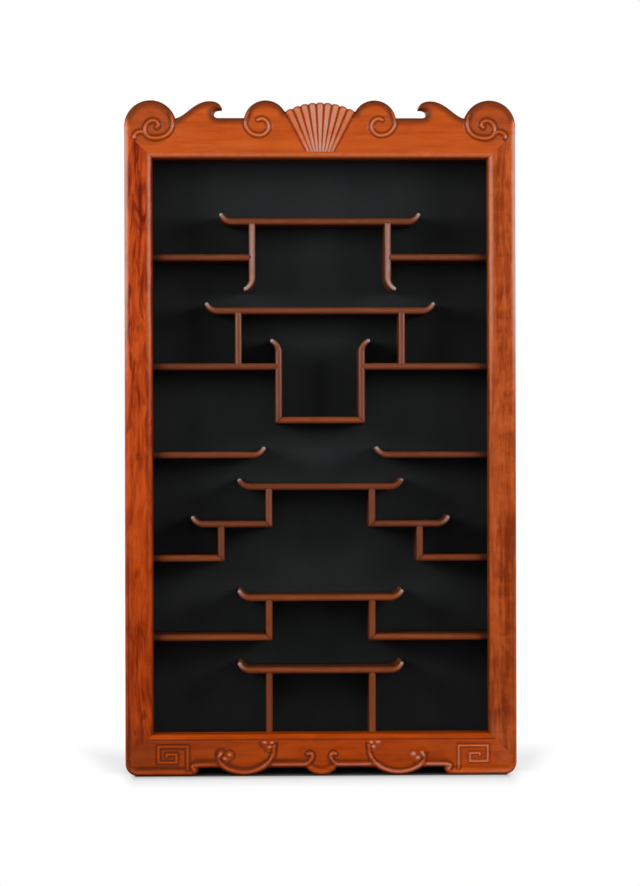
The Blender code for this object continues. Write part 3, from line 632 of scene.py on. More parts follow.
@dataclass(frozen=True)
class Lip:
    """Rounded lip along the opening of the frame, with a fine line where it leaves the face.

    pale_at and pale_over are shares of the width.
    """
    width: float = 7.2 * MM
    drop: float = 7.0 * MM
    line: float = 0.5 * MM
    line_width: float = 0.8 * MM
    line_dark: float = 1.0 / (0.5 * MM)
    reach: float = 8.8 * MM
    pale: float = 0.9
    pale_at: float = 0.54
    pale_over: float = 0.42
    stain_and_painted_shade: float = 1.0
    painted_shade_width: float = 1.5 * MM

    def mark(self, inset: Array) -> Array:
        """Bell curve across the fine line."""
        return bell(inset - self.width - 0.4 * self.line_width, self.line_width)

    def height(self, inset: Array) -> Array:
        """Quarter ellipse from the opening up to the face, less the fine line."""
        run = np.clip((self.width - inset) / self.width, 0.0, 1.0)
        return self.drop * (quarter(run) - 1.0) - self.line * self.mark(inset)

    def tone(self, inset: Array, share: Any = 1.0) -> Array:
        """Painted highlight over the lip, painted shade in the line and towards the opening.

        Args:
            inset: Distance from the opening.
            share: How much of the painted highlight shows.

        Returns:
            Ridge and hollow tone.
        """
        # Painted highlight over the lip; painted shade in the fine line and towards the opening
        rubbed_and_painted_highlight = self.pale * share * bell(inset - self.pale_at * self.width, self.pale_over * self.width)
        line = self.line_dark * self.line * self.mark(inset)
        return rubbed_and_painted_highlight - line - self.stain_and_painted_shade * bell(inset, self.painted_shade_width)


@dataclass(frozen=True)
class PaintedEdgeLight:
    """Painted light along the frame's outer edge: a painted highlight with a darker band inside it on the
    upper half, a painted shadow line on the lower half.
    """
    pale: float = 0.4
    highlight_more: float = 1.2
    highlight_width: float = 5.2 * MM
    highlight_from: Pair = (0.40, 0.58)
    band: float = 0.3
    band_at: float = 9.0 * MM
    band_width: float = 3.0 * MM
    line: float = 0.95
    line_at: float = 4.0 * MM
    line_width: float = 2.0 * MM
    line_until: Pair = (0.22, 0.44)

    def tone(self, outer: Array, z: Array) -> Array:
        """Tone to add to a piece's own.

        Args:
            outer: Distance from the outer edge.
            z: Height.

        Returns:
            The tone.
        """
        # Painted highlight and its darker band high up, painted shadow line low down
        high, low = ease(z, *self.highlight_from), 1.0 - ease(z, *self.line_until)
        pale = (self.pale + self.highlight_more * high) * bell(outer, self.highlight_width)
        band = self.band * high * bell(outer - self.band_at, self.band_width)
        return pale - band - self.line * low * bell(outer - self.line_at, self.line_width)


PAINTED_EDGE_LIGHT = PaintedEdgeLight()


# Meshes

def put_mesh(name: str, points: Array, faces: Sequence[Array], fill: bool = False) -> Piece:
    """Make an object from whole arrays.

    Args:
        name: Name of the piece.
        points: Corner points, one per row.
        faces: Arrays of faces with the same number of corners in each array.
        fill: True to close the flat openings that are left.

    Returns:
        Object at the origin with outward faces.
    """
    mesh = bpy.data.meshes.new(name)
    corners = np.concatenate([f.ravel() for f in faces]).astype(np.int32)
    counts = np.concatenate([np.full(len(f), f.shape[1]) for f in faces])
    starts = np.concatenate([[0], np.cumsum(counts)[:-1]]).astype(np.int32)
    mesh.vertices.add(len(points))
    mesh.vertices.foreach_set("co", points.astype(np.float32).ravel())
    mesh.loops.add(len(corners))
    mesh.loops.foreach_set("vertex_index", corners)
    mesh.polygons.add(len(starts))
    mesh.polygons.foreach_set("loop_start", starts)
    mesh.update(calc_edges=True)
    work = bmesh.new()
    work.from_mesh(mesh)
    if fill:
        rim = [e for e in work.edges if e.is_boundary]
        bmesh.ops.triangle_fill(work, use_beauty=True, edges=rim)
    bmesh.ops.recalc_face_normals(work, faces=work.faces)
    work.to_mesh(mesh)
    work.free()
    piece = bpy.data.objects.new(name, mesh)
    bpy.context.scene.collection.objects.link(piece)
    return piece


def dress(piece: Piece, material: Material, grain: Array, carve: Array, sharp: float = 50.0) -> None:
    """Give a piece its fibre attribute, its tone attribute of patina, rubbing and painted light, its finish
    and smooth shading.

    Args:
        piece: The new piece.
        material: Its finish.
        grain: Fibre coordinates of its points.
        carve: Tone of its points: patina, dirt and rubbing, with painted shade and painted highlights.
        sharp: Angle past which an edge stays crisp, in degrees.
    """
    mesh = piece.data
    tone = np.clip(carve, HOLLOW, PALEST)
    layers = (("grain", "FLOAT_VECTOR", "vector", grain), ("carve", "FLOAT", "value", tone))
    for name, kind, key, values in layers:
        mesh.attributes.new(name, kind, "POINT").data.foreach_set(key, values.astype(np.float32).ravel())
    mesh.materials.append(material)
    mesh.polygons.foreach_set("use_smooth", np.ones(len(mesh.polygons), dtype=bool))
    mesh.set_sharp_from_angle(angle=math.radians(sharp))


def register(piece: Piece, node: str) -> None:
    """Tie a piece to the CAD model and report it.

    Args:
        piece: The finished piece.
        node: CAD node that it stands for.
    """
    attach(piece, BODY)
    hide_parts(node)
    LOG.info("%s: %d faces, stands for %s", piece.name, len(piece.data.polygons), node)


def cells_of(index: Array) -> Array:
    """Faces with four corners between neighbouring rows and columns of point numbers."""
    return np.stack([index[:-1, :-1], index[1:, :-1], index[1:, 1:], index[:-1, 1:]], axis=2).reshape(-1, 4)


def sleeve_of(index: Array) -> Array:
    """Faces between neighbouring rows of point numbers, when each row closes on itself."""
    return cells_of(np.concatenate([index, index[:, :1]], axis=1))[:, [0, 3, 2, 1]]


def trimmed_grid(outline: Array, pitch: float) -> tuple[Array, Array, Array]:
    """Square grid in the front view, cut to an outline.

    A grid point that lies within half a pitch of the outline moves onto it. No grid edge then joins a
    point inside with one outside, so the cells with four or three points left follow the outline.

    Args:
        outline: Corner points, anticlockwise.
        pitch: Grid spacing.

    Returns:
        Points, faces with four corners, and faces with three corners.
    """
    low, high = outline.min(axis=0) - pitch, outline.max(axis=0) + pitch
    across = pitch * np.arange(math.floor(low[0] / pitch), math.ceil(high[0] / pitch) + 1)
    up = low[1] + pitch * np.arange(math.ceil((high[1] - low[1]) / pitch) + 1)
    x, z = np.meshgrid(across, up, indexing="ij")
    points = np.stack([x.ravel(), z.ravel()], axis=1)
    gap, foot = gap_to(points, outline, closed=True)
    snap = gap <= 0.5001 * pitch
    kept = within(points, outline) | snap
    points[snap] = foot[snap]
    cells = cells_of(np.arange(points.shape[0]).reshape(x.shape))
    count = kept[cells].sum(axis=1)
    quads, three = cells[count == 4], cells[count == 3]
    gone = (~kept[three]).argmax(axis=1)
    tris = np.take_along_axis(three, (gone[:, None] + np.array([1, 2, 3])) % 4, axis=1)
    loose = snap[quads].all(axis=1)
    edge_quads, quads = quads[loose], quads[~loose]
    tris = np.concatenate([tris, edge_quads[:, [0, 1, 2]], edge_quads[:, [0, 2, 3]]])
    a, b, c = (points[tris[:, k]] for k in range(3))
    area = (b[:, 0] - a[:, 0]) * (c[:, 1] - a[:, 1]) - (b[:, 1] - a[:, 1]) * (c[:, 0] - a[:, 0])
    inside = within((a + b + c) / 3.0, outline) | ~snap[tris].all(axis=1)
    tris = tris[(area > 1e-4 * pitch * pitch) & inside]
    used, compact = np.unique(np.concatenate([quads.ravel(), tris.ravel()]), return_inverse=True)
    compact = compact.ravel()
    return points[used], compact[:quads.size].reshape(-1, 4), compact[quads.size:].reshape(-1, 3)


def outer_edges(faces: Sequence[Array], total: int) -> Array:
    """Directed edges that only one face uses.

    Args:
        faces: Arrays of faces with the same number of corners in each array.
        total: Number of points.

    Returns:
        Edges as pairs of point numbers, in the direction of their face.
    """
    edges = np.concatenate([f[:, [k, (k + 1) % f.shape[1]]] for f in faces for k in range(f.shape[1])])
    key = edges.min(axis=1) * total + edges.max(axis=1)
    _, first, times = np.unique(key, return_index=True, return_counts=True)
    return edges[first[times == 1]]


class CarvedRail:
    """A rail of the front frame: a relief over its front view, straight walls and a flat back."""
    pitch: float = 0.6 * MM
    crisp: float = 75.0
    lip: Lip

    def outline(self) -> Array:
        """Silhouette of the rail, anticlockwise."""
        raise NotImplementedError

    def relief(self, points: Array) -> tuple[Array, Array]:
        """Height over the face, and ridge and hollow tone."""
        raise NotImplementedError

    def with_lip(self, inset: Array, reach: float, height: Array, tone: Array) -> tuple[Array, Array]:
        """Lay the lip along the opening over the carving.

        Args:
            inset: Distance from the opening.
            reach: How far in the lip takes the place of the carving.
            height: Height of the carving.
            tone: Its ridge and hollow tone.

        Returns:
            Height and tone with the lip.
        """
        near = inset < reach
        raised = np.where(near, self.lip.height(inset), height)
        return raised, np.where(near, 0.0, tone) + self.lip.tone(inset)

    def build(self, name: str, node: str, material: Material, shift: Triple) -> None:
        """Make the rail.

        The front is y = face - height(x, z) on the trimmed grid. The walls join its edge to the back plane.

        Args:
            name: Name of the piece.
            node: CAD node that it stands for.
            material: Wood of the frame.
            shift: Place of the rail in the log it was sawn from.
        """
        flat, quads, tris = trimmed_grid(self.outline(), self.pitch)
        height, carve = self.relief(flat)
        total = len(flat)
        front = np.stack([flat[:, 0], FACE_Y - height, flat[:, 1]], axis=1)
        edges = outer_edges((quads, tris), total)
        rim, place = np.unique(edges.ravel(), return_inverse=True)
        place = place.reshape(-1, 2) + total
        rear = np.stack([flat[rim, 0], np.full(len(rim), FRAME_BACK_Y), flat[rim, 1]], axis=1)
        walls = np.stack([edges[:, 1], edges[:, 0], place[:, 0], place[:, 1]], axis=1)
        points = np.concatenate([front, rear])
        piece = put_mesh(name, points, [quads, tris, walls], fill=True)
        tone = np.concatenate([carve, np.zeros(len(rim))])
        dress(piece, material, points + np.array(shift), tone, self.crisp)
        register(piece, node)


@dataclass
class CrestRail(CarvedRail):
    """Top rail: corner volutes, breaking waves, level shoulders, inner volutes and a ribbed fan."""
    shoulder: float = 779.0 * MM
    corner: Pair = (-201.0 * MM, 769.0 * MM)
    corner_radius: float = 31.0 * MM
    corner_shade: float = 0.45
    corner_span: Pair = (18.0 * MM, 30.0 * MM)
    valley_x: float = -171.5 * MM
    peak: Pair = (-131.0 * MM, 799.0 * MM)
    beak: Pair = (-116.0 * MM, 789.5 * MM)
    inner: Pair = (-64.5 * MM, 774.0 * MM)
    inner_radius: float = 26.0 * MM
    fan_apex: float = 709.0 * MM
    fan_radius: float = 86.0 * MM
    fan_scallop: float = 2.2 * MM
    fan_half: float = 28.3
    fan_ribs: int = 9
    fan_foot: float = 737.4 * MM
    rib_top: float = 2.9 * MM
    rib_share: float = 0.6
    rib_power: float = 1.3
    rib_base: float = 0.1 * MM
    rib_valley: float = 0.8 * MM
    rib_valley_width: float = 0.2
    rib_cap: float = 4.0 * MM
    rib_cap_drop: float = 2.4 * MM
    rib_toe: float = 1.8 * MM
    groove_deep: float = 1.1 * MM
    groove_side: float = 1.5 * MM
    groove_foot: float = 0.8 * MM
    groove_dark: float = 0.9
    fan_fade: float = 26.0 * MM
    fan_highlight: float = 1.5
    fan_high: float = 0.2
    fan_side: float = 0.45
    fan_valley: Pair = (0.7, 1.6)
    fan_cap: float = 0.8
    plain_z: Pair = (762.0 * MM, 782.0 * MM)
    plain_x: Pair = (6.0 * MM, 12.0 * MM)
    scroll: Bead = Bead(half=2.3 * MM, rise=0.7 * MM, sink=1.0 * MM, fade=1.6 * MM, pale=1.3, dark=0.95)
    rim: Rim = Rim()
    lip: Lip = Lip(line=0.0, pale=0.95)

    def left_edge(self) -> Array:
        """Upper silhouette from the left mitre to the fan.

        Returns:
            Path of arcs (volutes) and cubic curves (wave, brow and underside of its beak, landing).
        """
        valley = math.degrees(math.acos((self.valley_x - self.corner[0]) / self.corner_radius))
        volute = arc(self.corner, self.corner_radius, 180.0, valley, 60)
        foot, peak, tip, low = volute[-1], self.peak, self.beak, self.shoulder
        span, rise = peak[0] - foot[0], peak[1] - foot[1]
        leave = (foot[0] + 0.3 * span, foot[1] + 0.1 * rise)
        wave = bend(foot, leave, (peak[0] - 0.45 * span, peak[1]), peak, 28)
        hook, drop = tip[0] - peak[0], peak[1] - tip[1]
        arrive = (tip[0] - 0.1 * hook, tip[1] + 0.6 * drop)
        brow = bend(peak, (peak[0] + 0.6 * hook, peak[1]), arrive, tip, 18)
        throat = (tip[0] - 0.65 * hook, (tip[1] + low) / 2 - MM)
        under = bend(tip, (tip[0] - 0.2 * hook, tip[1] - MM), (throat[0], tip[1] + MM), throat, 10)
        landing = bend(throat, (throat[0], low + 1.5 * MM), (throat[0] + 1.5 * MM, low),
                       (tip[0] - 0.3 * hook, low), 10)
        begin = 180.0 - math.degrees(math.asin((low - self.inner[1]) / self.inner_radius))
        half_fan = (self.fan_radius + self.fan_scallop) * math.sin(math.radians(self.fan_half))
        finish = math.degrees(math.acos((-self.inner[0] - half_fan) / self.inner_radius))
        scroll = arc(self.inner, self.inner_radius, begin, finish, 48)
        mitre = [(-HALF, HEAD + HALF - OPENING_HALF + SEAM)]
        return joined(mitre, volute, wave, brow, under, landing, scroll)

    def fan_edge(self, angle: Array) -> Array:
        """Radius of the fan's scalloped end at angles from its middle, in degrees."""
        return self.fan_radius + self.fan_scallop * quarter(self.rib_place(angle))

    def rib_place(self, angle: Array) -> Array:
        """Place across a rib, from -1 in one valley to 1 in the next."""
        turn = (angle + self.fan_half) / (2.0 * self.fan_half) * self.fan_ribs
        return np.clip(2.0 * (turn - np.floor(turn)) - 1.0, -0.995, 0.995)

    def outline(self) -> Array:
        """Silhouette of the rail.

        Returns:
            Lower edge, right mitre and carving, fan, and the left side.
        """
        left = self.left_edge()
        angle = np.linspace(self.fan_half, -self.fan_half, 20 * self.fan_ribs + 1)[1:-1]
        radius, turn = self.fan_edge(angle), np.radians(angle)
        fan = np.stack([radius * np.sin(turn), self.fan_apex + radius * np.cos(turn)], axis=1)
        low = [(-OPENING_HALF + SEAM, HEAD), (OPENING_HALF - SEAM, HEAD)]
        return joined(low, flipped(left), fan, left[::-1])

    def scrolls(self) -> list[Array]:
        """Crown lines on the left half.

        Returns:
            The corner scroll, its tail, and the inner scroll.
        """
        corner = thread((-176.1, 782.3), (-174.4, 776.9), (-174.4, 769.8), (-176.8, 763.3), (-181.8, 758.2),
                        (-188.9, 755.3), (-197.2, 754.7), (-203.7, 757.0), (-206.9, 762.1), (-206.4, 768.6),
                        (-203.1, 773.4), (-197.8, 775.5), (-193.0, 774.0), (-190.9, 770.4), (-193.0, 767.7))
        tail = thread((-205.4, 760.2), (-211.4, 762.3), (-216.7, 760.9), (-219.4, 757.6), (-219.6, 755.4))
        inner = thread((-85.3, 785.8), (-87.9, 779.3), (-88.5, 772.8), (-86.5, 766.3), (-81.1, 760.4),
                       (-72.9, 758.0), (-65.8, 759.8), (-61.4, 765.1), (-61.0, 771.0), (-64.0, 775.7),
                       (-68.7, 777.8), (-73.5, 776.5))
        return [corner, tail, inner]

    def fan(self, points: Array, height: Array, tone: Array) -> tuple[Array, Array]:
        """Lay the fan over the face.

        A rib's height is its half width at that radius times a round section, closed at its top end by a
        quarter round and at its foot by a short one.

        Args:
            points: Points of the left half.
            height: Height of the face so far.
            tone: Ridge and hollow tone so far.

        Returns:
            Height and tone with the fan.
        """
        x, z = points.T
        radius, angle = np.hypot(x, z - self.fan_apex), np.degrees(np.arctan2(x, z - self.fan_apex))
        place, off = np.abs(self.rib_place(angle)), np.abs(angle)
        half = radius * math.radians(self.fan_half / self.fan_ribs)
        cap = np.clip((radius - self.fan_edge(angle) + self.rib_cap) / self.rib_cap, 0.0, 1.0)
        toe = np.clip((self.fan_foot + self.rib_toe - z) / self.rib_toe, 0.0, 1.0)
        bow = self.rib_share * half * (1.0 - place ** self.rib_power) + self.rib_base
        swell = bow * quarter(cap) * quarter(toe)
        dent = self.rib_cap_drop * cap ** 3 + self.rib_valley * bell(1.0 - place, self.rib_valley_width)
        beside = np.clip(radius * np.sin(np.radians(off - self.fan_half)), 0.0, None)
        under = np.clip(self.fan_foot - z, 0.0, None)
        dip = np.where(z > self.fan_foot, bell(beside, self.groove_side), 0.0)
        groove = np.maximum(dip, np.where(off < self.fan_half, bell(under, self.groove_foot), 0.0))
        # Painted highlight on the rib crowns, weaker high up and towards the sides; painted shade over patina
        # in the valleys, more so high up, and at the top ends
        side = np.clip(off / self.fan_half, 0.0, 1.0)
        high = ease(z, self.fan_foot, self.fan_foot + self.fan_fade)
        valley = self.fan_valley[0] + self.fan_valley[1] * high
        rubbed_and_painted_highlight = self.fan_highlight - self.fan_high * high - self.fan_side * side ** 2
        rubbed_and_painted_highlight = rubbed_and_painted_highlight - valley * place ** 4 - self.fan_cap * cap ** 3
        inside = (off < self.fan_half) & (z > self.fan_foot)
        height = np.where(inside, np.minimum(swell, self.rib_top) - dent, height - self.groove_deep * groove)
        return height, np.where(inside, rubbed_and_painted_highlight, tone - self.groove_dark * groove)

    def relief(self, points: Array) -> tuple[Array, Array]:
        """Carving of the rail.

        Args:
            points: Points of the front view.

        Returns:
            Height over the face, and ridge and hollow tone.
        """
        left = np.stack([-np.abs(points[:, 0]), points[:, 1]], axis=1)
        edge, _ = gap_to(left, self.left_edge())
        scroll = least_gap(left, self.scrolls())
        ridge = self.scroll.height(scroll)
        outer = HALF + left[:, 0]
        plain = (1.0 - ease(points[:, 1], *self.plain_z)) * (1.0 - ease(outer, *self.plain_x))
        rim = mixed(self.rim.height(edge), OUTER_RIM.height(edge), plain)
        carved = np.where(scroll < self.scroll.half, np.maximum(ridge, rim), np.minimum(ridge, rim))
        height = np.where(edge < self.rim.crown_at, rim, carved)
        tone = mixed(self.rim.tone(edge), PAINTED_EDGE_LIGHT.tone(outer, points[:, 1]), plain)
        middle = np.hypot(*(left - np.array(self.corner)).T)
        # corner_shade is painted shade over the ground of the corner volute
        tone = tone + self.scroll.tone(scroll) - self.corner_shade * (1.0 - ease(middle, *self.corner_span))
        height, tone = self.fan(left, height, tone)
        return self.with_lip(points[:, 1] - HEAD, self.lip.width, height, tone)


@dataclass
class ApronRail(CarvedRail):
    """Bottom rail: rounded feet with a square fret, crescents with knobbed ends, and a middle lobe.

    The left fret lies fret_in nearer the middle than the right one, and lean is how much darker the left
    end and paler the right end of the rail is.
    """
    edge: float = 9.0 * MM
    corner: float = 15.0 * MM
    foot_inner: float = 145.5 * MM
    foot_round: float = 8.5 * MM
    fret_in: float = 4.3 * MM
    crescent_x: float = 91.9 * MM
    crescent_half: float = 28.3 * MM
    lobe_half: float = 18.5 * MM
    lean: float = 0.65
    plain_z: Pair = (4.0 * MM, 16.0 * MM)
    plain_x: Pair = (12.0 * MM, 18.0 * MM)
    line: Bead = Bead(half=2.5 * MM, rise=0.9 * MM, sink=0.9 * MM, fade=1.8 * MM, pale=0.95, dark=1.05)
    meander: Bead = Bead(half=2.0 * MM, rise=0.6 * MM, sink=0.7 * MM, fade=1.2 * MM, pale=0.85, dark=1.0)
    knob: Bead = Bead(half=3.2 * MM, rise=1.8 * MM, sink=0.4 * MM, fade=1.6 * MM, pale=1.7, dark=0.0)
    knob_highlight: float = 0.6
    knob_highlight_width: float = 4.4 * MM
    knob_ring_shade: float = 0.8
    knob_ring_at: float = 6.0 * MM
    knob_ring_width: float = 1.6 * MM
    rim: Rim = Rim(crown_at=4.2 * MM, drop=4.4 * MM, stain_and_painted_shade=0.8, painted_shade_width=1.8 * MM,
                   bead=Bead(half=4.0 * MM, rise=0.4 * MM, sink=0.7 * MM, fade=2.6 * MM, pale=0.3, dark=0.6))
    lip: Lip = Lip(pale=0.25)

    def left_edge(self) -> Array:
        """Lower silhouette from the left mitre to the middle.

        Returns:
            Path of the rounded corner, the foot, the crescent and half of the lobe.
        """
        corner = arc((-HALF + self.corner, self.corner), self.corner, 180.0, 270.0, 24)
        end = arc((-self.foot_inner - self.foot_round, self.foot_round), self.foot_round, 270.0, 360.0, 16)
        runs = [[(-HALF, SILL - HALF + OPENING_HALF - SEAM)], corner, end, [(-self.foot_inner, self.edge)]]
        for middle, half, last in ((-self.crescent_x, self.crescent_half, 1.0), (0.0, self.lobe_half, 0.0)):
            radius = self.sag(half)
            spread = math.degrees(math.asin(half / radius))
            runs.append(arc((middle, radius), radius, 270.0 - spread, 270.0 + last * spread, 40))
        return joined(*runs)

    def sag(self, half: float) -> float:
        """Radius of the arc that drops by the edge height over a half width."""
        return (half * half + self.edge * self.edge) / (2.0 * self.edge)

    def outline(self) -> Array:
        """Silhouette: left mitre, lower edge and right mitre; the opening's edge closes it."""
        left = joined([(-OPENING_HALF + SEAM, SILL)], self.left_edge())
        return joined(left, flipped(left)[::-1])

    def fret(self) -> Array:
        """Square scroll on a foot, on the right half."""
        return MM * np.array(((162.7, 8.0), (162.7, 34.4), (197.1, 34.4), (197.1, 15.8), (175.9, 15.8),
                              (175.9, 25.4), (187.5, 25.4), (187.5, 23.0)))

    def raised_lines(self) -> list[Array]:
        """Crown lines on the right half.

        Returns:
            The crescent, the lobe's curl and the foot's hook.
        """
        radius = self.sag(self.crescent_half)
        bowl = arc((self.crescent_x, radius), radius - self.rim.crown_at, 304.0, 236.0, 40)
        middle = np.array([self.crescent_x, 0.0])
        small = middle + thread((27.6, 25.5), (29.6, 22.2), (29.4, 17.6), (24.9, 12.0))
        tall = middle + thread((-24.9, 12.0), (-31.0, 17.6), (-35.0, 26.0), (-35.9, 35.0))
        curl = thread((57.0, 13.2), (40.0, 13.2), (26.0, 13.2), (19.5, 13.4), (13.6, 16.4), (10.8, 22.0),
                      (13.0, 26.0), (16.2, 25.2))
        hook = thread((126.0, 13.2), (135.0, 13.2), (143.5, 13.0), (150.0, 12.6), (152.8, 10.2), (150.5, 6.8))
        return [joined(small, bowl, tall), curl, hook]

    def knobs(self) -> Array:
        """Middles of the three round knobs at each end of a crescent, on the right half."""
        places = ((27.3, 26.4), (17.0, 24.6), (22.3, 20.0), (-24.7, 39.2), (-33.3, 38.7), (-30.7, 33.5))
        return np.array(places) * MM + np.array([self.crescent_x, 0.0])

    def relief(self, points: Array) -> tuple[Array, Array]:
        """Carving of the rail.

        Args:
            points: Points of the front view.

        Returns:
            Height over the face, and ridge and hollow tone.
        """
        x, z = points.T
        right = np.stack([np.abs(x), z], axis=1)
        edge, _ = gap_to(right, flipped(self.left_edge()))
        plain = ease(z, *self.plain_z) * (1.0 - ease(HALF - right[:, 0], *self.plain_x))
        height = mixed(self.rim.height(edge), OUTER_RIM.height(edge), plain)
        lines = least_gap(right, self.raised_lines())
        inward = np.stack([np.where(x < 0.0, self.fret_in, 0.0), np.zeros_like(z)], axis=1)
        fret, _ = gap_to(right + inward, self.fret())
        knob = np.sqrt(((right[:, None] - self.knobs()[None]) ** 2).sum(axis=2)).min(axis=1)
        layers = ((lines, self.line), (fret, self.meander), (knob, self.knob))
        inner = edge >= self.rim.crown_at
        for gap, bead in layers:
            height = np.where(inner & (gap >= bead.half), np.minimum(height, bead.height(gap)), height)
        for gap, bead in layers:
            height = np.where(inner & (gap < bead.half), np.maximum(height, bead.height(gap)), height)
        tone = mixed(self.rim.tone(edge), PAINTED_EDGE_LIGHT.tone(edge, z), plain)
        tone = tone + sum(bead.tone(gap) for gap, bead in layers) + self.lean * x / HALF
        # Painted highlight round each knob and a ring of painted shade just outside it
        highlight_bell, ring = bell(knob, self.knob_highlight_width), bell(knob - self.knob_ring_at, self.knob_ring_width)
        tone = tone + self.knob_highlight * highlight_bell - self.knob_ring_shade * ring
        return self.with_lip(SILL - z, self.lip.reach, height, tone)


@dataclass
class Stiles:
    """The two uprights of the frame: rounded lip, plain face, rounded outer edge, mitred ends.

    Towards the feet the left one turns darker and the right one paler, by lean, as the bottom rail does.
    A log is the place of a stile in the tree it was sawn from.
    """
    lip: Lip = Lip(line=0.0, pale=1.05)
    rows: int = 48
    moulded: float = 9.6 * MM
    face_from: float = 11.0 * MM
    rim_reach: float = 10.0 * MM
    back_edge: float = 0.8 * MM
    highlight_from: Pair = (0.42, 0.56)
    low_highlight: float = 0.35
    lean: float = 0.5
    lean_until: Pair = (0.03, 0.11)
    left_log: Triple = (-0.43, -0.13, 0.31)
    right_log: Triple = (1.6, 0.13, 0.31)

    def section(self) -> Array:
        """Section seen from above.

        Returns:
            Points as (distance from the middle, depth), from the opening round to the back.
        """
        width = HALF - OPENING_HALF
        near = np.linspace(0.0, self.moulded, 50)
        face = np.linspace(self.face_from, width - self.face_from, 6)
        inset = np.concatenate([near, face, width - near[::-1]])
        outer = width - inset < self.rim_reach
        height = np.where(outer, OUTER_RIM.height(width - inset), self.lip.height(inset))
        front = np.stack([OPENING_HALF + inset, FACE_Y - height], axis=1)
        back = np.array([(HALF, FRAME_BACK_Y - self.back_edge), (HALF - self.back_edge, FRAME_BACK_Y),
                         (OPENING_HALF, FRAME_BACK_Y)])
        return np.concatenate([front, back])

    def painted_light_and_dirt(self, x: Array, y: Array, z: Array) -> Array:
        """Painted highlight and shade of the lip and painted light of the outer edge.

        Args:
            x: Distance from the middle.
            y: Depth.
            z: Height.

        Returns:
            Tone whose painted highlight on the lip is stronger high up, with none on the back.
        """
        # The lip's painted highlight is strongest high up
        share = self.low_highlight + (1.0 - self.low_highlight) * ease(z, *self.highlight_from)
        lip = self.lip.tone(x - OPENING_HALF, share)
        return np.where(y < FRAME_BACK_Y - MM, lip + PAINTED_EDGE_LIGHT.tone(HALF - x, z), 0.0)

    def build(self, left: Material, right: Material) -> None:
        """Make both stiles: the section carried up from the lower mitre to the upper one.

        Args:
            left: Wood of the left stile.
            right: Wood of the right stile.
        """
        section = self.section()
        low = SILL - (section[:, 0] - OPENING_HALF) + SEAM
        high = HEAD + (section[:, 0] - OPENING_HALF) - SEAM
        z = low + (high - low) * np.linspace(0.0, 1.0, self.rows)[:, None]
        x, y = (np.broadcast_to(part, z.shape) for part in section.T)
        tone, lean = self.painted_light_and_dirt(x, y, z), self.lean * (1.0 - ease(z, *self.lean_until))
        index = np.arange(z.size).reshape(z.shape)
        pair = (("left", -1.0, left, self.left_log), ("right", 1.0, right, self.right_log))
        for label, side, material, log in pair:
            points = np.stack([side * x, y, z], axis=2).reshape(-1, 3)
            piece = put_mesh(f"stile_{label}_moulded", points, [sleeve_of(index), index[:1], index[-1:]])
            dress(piece, material, points[:, [2, 0, 1]] + np.array(log), (tone + side * lean).ravel())
            register(piece, f"stile_{label}")


@dataclass(frozen=True)
class End:
    """One end of a strip: its place along it, its kind, the lean of its upper side, and what is housed."""
    at: float
    kind: EndKind = EndKind.SQUARE
    lean: float = 0.0
    hidden: float = 0.0


@dataclass(frozen=True)
class Strip:
    """A shelf or an upright of shelf thickness between two ends, seen from the front.

    level is the middle of the thickness: a height for a shelf, a distance from the middle for an upright.
    """
    node: str
    near: End
    far: End
    level: float
    upright: bool = False
    mirrored: bool = False
    painted_light_and_dirt: float = 0.0


